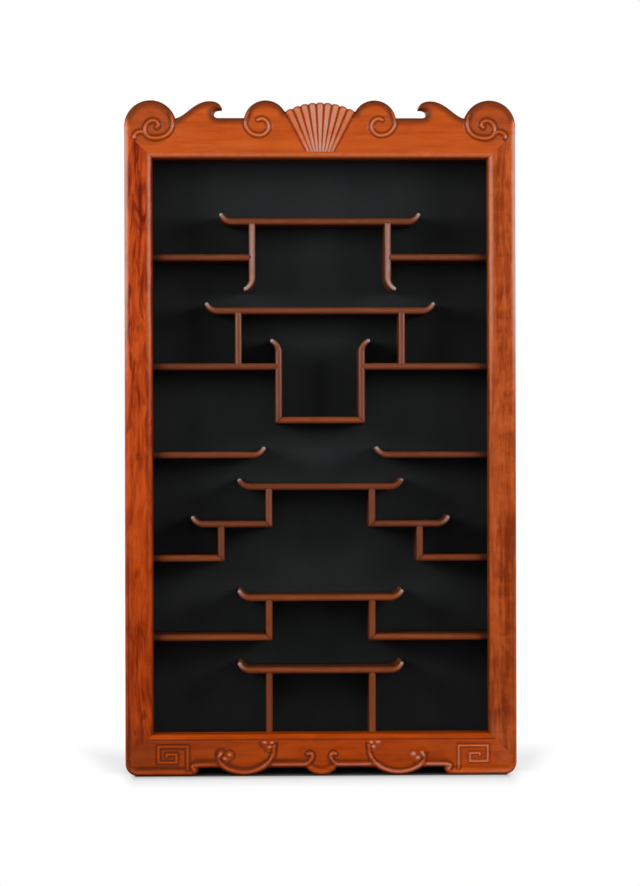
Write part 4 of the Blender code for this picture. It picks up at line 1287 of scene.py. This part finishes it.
@dataclass
class Shelving:
    """Stepped shelves and uprights with rounded front edges and swept-up tips.

    A square end has rows of points before it, which take up its lean by shares, and its tone falls off in
    plain sight, a dark cut end, or further before the wall that it is housed in, a painted shadow of the
    stile.
    """
    half: float = SHELF / 2
    edge: float = 3.8 * MM
    edge_most: float = 0.96
    nose_highlight: float = 1.2
    nose_shade: float = 0.7
    nose_highlight_gain: float = 2.0
    back_edge: float = 0.6 * MM
    back_tone: float = -0.4
    curl_radius: float = 15.0 * MM
    curl_angle: float = 60.0
    tip: float = 5.0 * MM
    tip_setback: float = 1.6 * MM
    tip_rubbing_and_highlight: Pair = (0.9, 1.3)
    plug: float = 2.5 * MM
    slip: float = GAP / 2 * math.sqrt(2.0)
    wall: float = 223.0 * MM
    floor: float = 44.0 * MM
    roof: float = 654.0 * MM
    upper_wing: float = 611.0 * MM
    bridge: float = 547.5 * MM
    tray_wing: float = 481.0 * MM
    tray: float = 417.0 * MM
    ledge: float = 375.5 * MM
    middle_roof: float = 337.5 * MM
    step: float = 293.0 * MM
    lower_wing: float = 252.5 * MM
    lower_roof: float = 205.0 * MM
    base_wing: float = 158.0 * MM
    base_roof: float = 118.5 * MM
    leg_x: float = 81.0 * MM
    leg_low: float = 575.5 * MM
    leg_highlight: float = 0.75
    post_x: float = 97.5 * MM
    tray_x: float = 49.5 * MM
    tray_top: float = 518.0 * MM
    ledge_tip: float = 65.2 * MM
    upright_x: float = 61.5 * MM
    step_x: float = 118.5 * MM
    step_tip: float = 154.5 * MM
    end_rows: tuple[float, ...] = (15.0, 10.5, 6.0, 4.0, 2.0, 0.0)
    end_lean: tuple[float, ...] = (0.0, 0.33, 0.67, 0.85, 0.95, 1.0)
    end_tone: tuple[float, ...] = (0.0, 0.0, 0.0, 0.0, -0.15, -0.9)
    wall_shadow: tuple[float, ...] = (0.0, -0.4, -0.9, -1.0, -1.0, -1.0)

    def roofs(self) -> list[Strip]:
        """Strips that lie across the middle.

        Returns:
            Shelves with both tips swept up, and the tray's bottom.
        """
        strips = []
        for node, tip, low, painted_light_and_dirt in (("roof_shelf", 120.0, self.roof, 0.0),
                                     ("bridge_shelf", 137.3, self.bridge, 0.0),
                                     ("middle_roof_shelf", 99.0, self.middle_roof, -0.6),
                                     ("lower_roof_shelf", 99.0, self.lower_roof, 0.0),
                                     ("base_roof_shelf", 99.0, self.base_roof, 0.0)):
            near, far = (End(side * tip * MM, EndKind.SWEPT) for side in (-1.0, 1.0))
            strips.append(Strip(node, near, far, low + self.half, painted_light_and_dirt=painted_light_and_dirt))
        end = self.tray_x - self.slip
        strips.append(Strip("tray_bottom", End(-end, lean=1.0), End(end, lean=-1.0), self.tray + self.half))
        return strips

    def sides(self, label: str, mirrored: bool) -> list[Strip]:
        """Shelves and uprights of one side, laid out for the right and mirrored for the left.

        Args:
            label: Name of the side.
            mirrored: True for the left.

        Returns:
            The strips of that side.
        """
        half, plug, slip = self.half, self.plug, self.slip

        def shelf(kind: str, low: float, near: End, far: End) -> Strip:
            """Level strip with its underside at a height."""
            return Strip(f"{kind}_{label}", near, far, low + half, False, mirrored)

        def post(kind: str, x: float, near: End, far: End, painted_light_and_dirt: float = 0.0) -> Strip:
            """Standing strip at a distance from the middle."""
            return Strip(f"{kind}_{label}", near, far, x, True, mirrored, painted_light_and_dirt)

        def corner(low: float) -> End:
            """Foot of an upright that is mitred to the shelf it stands on."""
            return End(low + half + slip, lean=1.0)

        def swept(at: float) -> End:
            """Free end that is swept up."""
            return End(at, EndKind.SWEPT)

        def housed(shelf_low: float) -> End:
            """Head of an upright in the shelf above it."""
            return End(shelf_low + plug)

        wall = End(self.wall, hidden=self.wall - OPENING_HALF)
        x, step_x = self.upright_x, self.step_x
        return [
            post("roof_leg", self.leg_x, swept(self.leg_low), housed(self.roof), self.leg_highlight),
            shelf("upper_wing", self.upper_wing, End(self.leg_x + half - plug), wall),
            post("bridge_post", self.post_x, End(self.tray_wing + SHELF - plug), housed(self.bridge)),
            shelf("tray_wing", self.tray_wing, End(self.tray_x + half - plug), wall),
            post("tray_side", self.tray_x, End(self.tray + half + slip, lean=-1.0), swept(self.tray_top)),
            shelf("ledge", self.ledge, swept(self.ledge_tip), wall),
            shelf("step_shelf", self.step, End(x + slip, lean=1.0), swept(self.step_tip)),
            post("middle_upright", x, corner(self.step), housed(self.middle_roof)),
            shelf("lower_wing", self.lower_wing, End(step_x + slip, lean=1.0), wall),
            post("step_upright", step_x, corner(self.lower_wing), housed(self.step)),
            shelf("base_wing", self.base_wing, End(x + slip, lean=1.0), wall),
            post("lower_upright", x, corner(self.base_wing), housed(self.lower_roof)),
            post("base_upright", x, End(self.floor - plug), housed(self.base_roof)),
        ]

    def stations(self, end: End) -> Array:
        """Middle line of one half of a strip, from its straight run to its end.

        A swept end is an arc whose thickness falls evenly to the tip, closed by a half circle.

        Args:
            end: The end, taken as the far one.

        Returns:
            Rows of (along, up, angle, half thickness, lean, front setback, tone); the tone is paler from
            rubbing and a painted highlight towards a tip, a painted shadow before a wall, and a dark cut end
            elsewhere.
        """
        if end.kind is EndKind.SQUARE:
            rows = np.zeros((len(self.end_rows), 7))
            rows[:, 0] = end.at - end.hidden - np.array(self.end_rows) * MM
            rows[-1, 0] = end.at
            rows[:, 3] = self.half
            rows[:, 4] = end.lean * np.array(self.end_lean)
            # Before a wall a painted shadow of the stile, elsewhere a dark cut end
            rows[:, 6] = self.wall_shadow if end.hidden else self.end_tone
            return rows
        small, radius, turn = self.tip / 2, self.curl_radius, math.radians(self.curl_angle)
        angle = np.linspace(0.0, turn, 25)
        bow = np.zeros((len(angle), 7))
        bow[:, 0] = end.at - radius * math.sin(turn) - small + radius * np.sin(angle)
        bow[:, 1] = radius * (1.0 - np.cos(angle))
        bow[:, 2] = angle
        bow[:, 3] = self.half + (small - self.half) * angle / turn
        # Paler towards the tip, from rubbing and a painted highlight
        bow[:, 6] = self.tip_rubbing_and_highlight[0] * (angle / turn) ** 2
        round_off = np.radians(np.linspace(0.0, 86.0, 12))[1:]
        cap = np.tile(bow[-1], (len(round_off), 1))
        cap[:, 0] += small * np.sin(round_off) * math.cos(turn)
        cap[:, 1] += small * np.sin(round_off) * math.sin(turn)
        cap[:, 3] = small * np.cos(round_off)
        cap[:, 5] = self.tip_setback * (1.0 - np.cos(round_off))
        cap[:, 6] = self.tip_rubbing_and_highlight[1]
        return np.concatenate([bow, cap])

    def surface(self, strip: Strip) -> tuple[Array, Array, list[Array], Array]:
        """Carry the rounded section along the strip's middle line.

        Args:
            strip: The strip.

        Returns:
            Points, their fibre coordinates, the faces of the sides and of the two ends, and the tone.
        """
        near = self.stations(End(-strip.near.at, strip.near.kind, -strip.near.lean))[::-1]
        near = near * np.array([-1.0, 1.0, -1.0, 1.0, -1.0, 1.0, 1.0])
        line = np.concatenate([near, self.stations(strip.far)])
        along, up, angle, half, lean, setback, painted_light_and_dirt = line.T[..., None]
        edge = np.minimum(self.edge, self.edge_most * half)
        turn = np.radians(np.linspace(0.0, 90.0, 11))[None]
        trim = self.back_edge * half / self.half
        across = np.concatenate([edge * (1.0 - np.cos(turn)) - half, half - edge + edge * np.sin(turn),
                                 half, half - trim, trim - half, -half], axis=1)
        front = SHELF_FRONT_Y + setback
        back = SHELF_BACK_Y - self.back_edge * np.tile([1.0, 0.0, 0.0, 1.0], (len(line), 1))
        lower, upper = (front + edge * (1.0 - curve) for curve in (np.sin(turn), np.cos(turn)))
        depth = np.concatenate([lower, upper, back], axis=1)
        level = along - np.sin(angle) * across + lean * across
        points = np.stack([level, depth, up + np.cos(angle) * across], axis=2)
        run = np.concatenate([[0.0], np.cumsum(np.hypot(np.diff(line[:, 0]), np.diff(line[:, 1])))])
        grain = np.stack([np.broadcast_to(run[:, None], across.shape), across, depth], axis=2)
        # Painted highlight along the middle of the rounded front edge and painted shade towards its top and
        # bottom; a strip's own value strengthens or weakens the painted highlight
        nose = self.nose_highlight * np.concatenate([np.sin(turn), np.cos(turn)], axis=1) - self.nose_shade
        nose = nose + self.nose_highlight_gain * strip.painted_light_and_dirt * np.clip(nose, 0.0, None)
        rubbed_and_painted_highlight = np.concatenate([nose, np.full((1, 4), self.back_tone)], axis=1)
        tone = painted_light_and_dirt + rubbed_and_painted_highlight * np.clip(1.0 + painted_light_and_dirt, 0.0, 1.0)
        index = np.arange(across.size).reshape(across.shape)
        return points.reshape(-1, 3), grain.reshape(-1, 3), [sleeve_of(index), index[[0, -1]]], tone.ravel()

    def build(self, material: Material, low: Material) -> None:
        """Make every shelf and upright.

        Args:
            material: Wood of the shelves.
            low: Wood of the lowest shelves and their uprights.
        """
        strips = self.roofs() + self.sides("left", True) + self.sides("right", False)
        for number, strip in enumerate(strips):
            flat, grain, faces, tone = self.surface(strip)
            u, y, v = flat.T
            x, z = (strip.level + v, u) if strip.upright else (u, strip.level + v)
            points = np.stack([-x if strip.mirrored else x, y, z], axis=1)
            piece = put_mesh(f"{strip.node}_strip", points, faces)
            shift = np.array([0.37 * number, 0.11 * math.sin(3.1 * number), 0.17 * math.cos(1.7 * number)])
            wood = low if strip.node.startswith(("base", "lower", "tray_bottom")) else material
            dress(piece, wood, grain + shift, tone)
            register(piece, strip.node)


@dataclass
class CaseAndBack:
    """Boards of the case, the screws in its back and the cloth stretched over the inside of the back."""
    cloth_half: float = 217.7 * MM
    cloth_low: float = 44.3 * MM
    cloth_high: float = 736.7 * MM
    cloth_front: float = 39.6 * MM
    cloth_thick: float = 1.6 * MM
    swell: float = 0.5 * MM
    swell_over: float = 0.04

    def dress_boards(self, upright: Material, level: Material, brass: Material) -> None:
        """Give the CAD boards and screws their finishes.

        Args:
            upright: Wood with standing fibres.
            level: Wood with level fibres.
            brass: Metal of the screws.
        """
        finishes = {"case_side_left": upright, "case_side_right": upright, "back_board": upright,
                    "case_top": level, "case_bottom": level}
        for name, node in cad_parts.items():
            material = brass if name.startswith("back_screw") else finishes.get(name)
            if material is not None:
                node.data.materials.clear()
                node.data.materials.append(material)
                LOG.info("%s: CAD node in %s", name, material.name)

    def lining(self, material: Material) -> None:
        """Stretch the cloth: a flat grid, swollen a little between its edges, closed by edges and a back.

        Args:
            material: Black cloth.
        """
        u, v = np.meshgrid(np.linspace(-1.0, 1.0, 60), np.linspace(0.0, 1.0, 90), indexing="ij")
        size = (2.0 * self.cloth_half, self.cloth_high - self.cloth_low)
        x, z = self.cloth_half * u, self.cloth_low + size[1] * v
        rise = np.minimum(1.0 - np.abs(u), 4.0 * np.minimum(v, 1.0 - v))
        swell = self.swell * np.sqrt(np.clip(rise / self.swell_over, 0.0, 1.0))
        front = np.stack([x, self.cloth_front + self.swell - swell, z], axis=2).reshape(-1, 3)
        back = np.stack([x, np.full_like(x, self.cloth_front + self.cloth_thick), z], axis=2).reshape(-1, 3)
        index = np.arange(x.size).reshape(x.shape)
        faces = cells_of(index)
        ring = np.concatenate([index[:-1, 0], index[-1, :-1], index[:0:-1, -1], index[0, :0:-1]])
        after = np.roll(ring, -1)
        edges = np.stack([after, ring, ring + x.size, after + x.size], axis=1)
        points = np.concatenate([front, back])
        piece = put_mesh("back_lining_cloth", points, [faces, faces[:, ::-1] + x.size, edges])
        dress(piece, material, points, np.zeros(len(points)))
        register(piece, "back_lining")


@dataclass
class Studio:
    """White floor and background, a large soft panel on each side, and the camera of the photograph.

    The world gives ambient light all round and frontal more along the depth, and loses dimmed of it overhead.
    Glossy finishes find gloss in front of them and gloss_more added behind. The floor takes its tone from the
    light under the cabinet and turns to plain white away from it, less a soft painted shadow behind the feet.
    """
    pixel: float = 1.1838 * MM
    image: tuple[int, int] = (640, 886)
    centre_px: Pair = (320.85, 775.6)
    distance: float = 3.1
    roll: float = 0.13
    swing: float = 1.5
    panel_power: float = 20.6
    panel_size: Pair = (1.4, 0.6)
    panel_at: Triple = (1.35, -0.75, 0.86)
    ambient: float = 0.3
    frontal: float = 1.35
    dimmed: float = 0.85
    dim_span: Pair = (0.05, 0.55)
    gloss: float = 0.05
    gloss_more: float = 0.7
    gloss_span: Pair = (-0.5, 0.7)
    floor_radius: float = 9.0
    floor_steps: int = 96
    floor_grey: tuple[float, float, float, float] = (0.16, 0.16, 0.16, 1.0)
    shade: float = 0.19
    shade_from: Pair = (-0.045, 0.01)
    shade_until: Pair = (0.1, 0.32)
    shade_side: Pair = (0.0, 0.04)
    shade_spread: float = 0.2
    side_start: float = 0.012
    side_pull: float = 5.0
    white_from: Pair = (0.0, 0.006)
    white_shares: Triple = (0.3, 0.5, 0.2)
    white_near: Pair = (-0.02, 0.045)
    white_far: Pair = (0.02, 0.12)

    def camera(self) -> None:
        """Stand the camera level before the face, a little to the left, with the photograph's frame."""
        lens = bpy.data.cameras.new("camera")
        lens.sensor_fit = "AUTO"
        lens.angle = 2.0 * math.atan(self.image[1] / 2 * self.pixel / self.distance)
        camera = bpy.data.objects.new("camera", lens)
        swing = math.radians(self.swing)
        right = (self.image[0] / 2 - self.centre_px[0]) * self.pixel
        up = (self.centre_px[1] - self.image[1] / 2) * self.pixel
        aside, before = self.distance * math.sin(swing), self.distance * math.cos(swing)
        camera.location = (right - aside, FACE_Y - before, up)
        camera.rotation_euler = (math.pi / 2, math.radians(self.roll), -swing)
        bpy.context.scene.collection.objects.link(camera)
        bpy.context.scene.camera = camera

    def panels(self) -> None:
        """Stand a soft panel on each side between camera and cabinet, turned to the cabinet's middle."""
        for label, side in (("left", -1.0), ("right", 1.0)):
            light = bpy.data.lights.new(f"soft_panel_{label}", "AREA")
            light.shape = "RECTANGLE"
            light.size, light.size_y = self.panel_size
            light.energy = self.panel_power
            panel = bpy.data.objects.new(f"soft_panel_{label}", light)
            panel.location = (side * self.panel_at[0], *self.panel_at[1:])
            panel.rotation_euler = (math.pi / 2, 0.0, math.atan2(side * self.panel_at[0], -self.panel_at[1]))
            bpy.context.scene.collection.objects.link(panel)

    def world(self) -> None:
        """Grey light all round but dim from above; white for the camera."""
        world = bpy.data.worlds.new("studio")
        bpy.context.scene.world = world
        world.use_nodes = True
        graph = Graph(world.node_tree)
        rays = graph.node("ShaderNodeLightPath", {}, {}).outputs
        kinds = ("Camera", "Glossy", "Transmission")
        seen, glossy, through = (Value(graph, rays[f"Is {kind} Ray"]) for kind in kinds)
        way = graph.node("ShaderNodeTexCoord", {}, {}).outputs["Generated"]
        _, depth, up = graph.parts(way)
        dim = 1.0 - up.rise(*self.dim_span) * self.dimmed
        gloss = (self.gloss + depth.rise(*self.gloss_span) * self.gloss_more) * dim
        soft = (self.ambient + depth * depth * self.frontal) * dim
        light = soft + glossy.at_least(through) * (gloss - soft)
        strength = light + seen * (1.0 - light)
        back = graph.node("ShaderNodeBackground", {}, {"Color": WHITE, "Strength": strength})
        graph.node("ShaderNodeOutputWorld", {}, {"Surface": back.outputs[0]})

    def floor(self) -> None:
        """Lay a round white floor that keeps the shadow near the feet, darkened there by a painted grey and a
        painted shadow, and turns plain white further off.
        """
        turn = np.linspace(0.0, 2.0 * math.pi, self.floor_steps + 1)[:-1]
        ring = np.stack([np.cos(turn), np.sin(turn), np.zeros_like(turn)], axis=1)
        floor = put_mesh("floor", self.floor_radius * ring, [np.arange(self.floor_steps)[None]])
        material, graph = new_material("white_floor")
        across, depth, _ = graph.parts(graph.place())
        side = across.size() - HALF
        aside = (side + self.side_start).at_least(0.0) * self.side_pull
        away = aside + (depth.size() + FACE_Y).at_least(0.0)
        # A painted shadow behind the feet, reaching further aside further back
        behind = depth.rise(*self.shade_from) * (1.0 - depth.rise(*self.shade_until))
        beside = (side - depth * self.shade_spread).rise(*self.shade_side)
        shade = behind * (1.0 - beside) * self.shade
        seen = graph.value("ShaderNodeLightPath", {}, {}, "Is Camera Ray")
        first, near, far = self.white_shares
        # Near the cabinet the camera sees the dark grey floor with its real shadow, a painted darkening round
        # the feet as well
        fade = first + away.rise(*self.white_near) * near + away.rise(*self.white_far) * far
        amount = seen * away.rise(*self.white_from) * fade * (1.0 - shade)
        plain = graph.node("ShaderNodeBsdfDiffuse", {}, {"Color": self.floor_grey})
        white = graph.node("ShaderNodeEmission", {}, {"Color": WHITE, "Strength": 1.0})
        shader = graph.node("ShaderNodeMixShader", {}, {0: amount, 1: plain.outputs[0], 2: white.outputs[0]})
        graph.node("ShaderNodeOutputMaterial", {}, {"Surface": shader.outputs[0]})
        floor.data.materials.append(material)

    def build(self) -> None:
        """Set up floor, light and camera."""
        bpy.context.scene.view_settings.view_transform = "Standard"
        for step in (self.camera, self.panels, self.world, self.floor):
            step()


CREST_WOOD = Wood("crest_wood", (0.28, 0.036, 0.003), (0.49, 0.074, 0.005), (0.60, 0.110, 0.012),
                  bands=0.5, streaks=0.4, figure=0.3)
APRON_WOOD = Wood("apron_wood", (0.29, 0.030, 0.001), (0.47, 0.061, 0.002), (0.58, 0.091, 0.005))
LEFT_WOOD = Wood("stile_wood_left", (0.22, 0.020, 0.001), (0.44, 0.050, 0.002), (0.57, 0.080, 0.006),
                 figure=1.5, flecks=1.0)
RIGHT_WOOD = Wood("stile_wood_right", (0.25, 0.036, 0.003), (0.41, 0.066, 0.008), (0.52, 0.098, 0.016),
                  bands=1.2, streaks=0.7, figure=1.2, flecks=0.5, ripple=0.9)
SHELF_WOOD = Wood("shelf_wood_polish", (0.09, 0.016, 0.003), (0.17, 0.036, 0.009), (0.24, 0.060, 0.018),
                  bands=0.6, figure=0.3, gloss=0.42, worn_and_painted_highlight=(0.36, 0.30, 0.27), shine=0.32)
LOW_SHELF_WOOD = replace(SHELF_WOOD, name="low_shelf_polish", dark=(0.11, 0.018, 0.002),
                         middle=(0.21, 0.042, 0.007), light=(0.30, 0.072, 0.015), shine=0.24)
UPRIGHT_WOOD = Wood("case_wood_upright", (0.10, 0.016, 0.004), (0.22, 0.040, 0.010), (0.32, 0.068, 0.020),
                    bands=0.8, streaks=0.6, figure=0.4, flecks=0.2, ripple=0.2, gloss=0.42,
                    grain=Grain.UPRIGHT, shift=(0.4, 0.1, 0.2))
LEVEL_WOOD = replace(UPRIGHT_WOOD, name="case_wood_level", grain=Grain.LEVEL, shift=(0.1, 0.3, 0.5))


def main() -> None:
    """Build the pieces in order and dress them."""
    logging.basicConfig(level=logging.INFO, format="%(name)s: %(message)s")
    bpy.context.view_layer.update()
    Studio().build()
    CrestRail().build("crest_rail_carved", "crest_rail", CREST_WOOD.material(), (0.3, 0.2, 0.0))
    ApronRail().build("apron_rail_carved", "apron_rail", APRON_WOOD.material(), (1.4, 0.5, 0.3))
    Stiles().build(LEFT_WOOD.material(), RIGHT_WOOD.material())
    Shelving().build(SHELF_WOOD.material(), LOW_SHELF_WOOD.material())
    case = CaseAndBack()
    case.dress_boards(UPRIGHT_WOOD.material(), LEVEL_WOOD.material(), Brass().material())
    case.lining(Cloth().material())


if __name__ == "__main__":
    main()
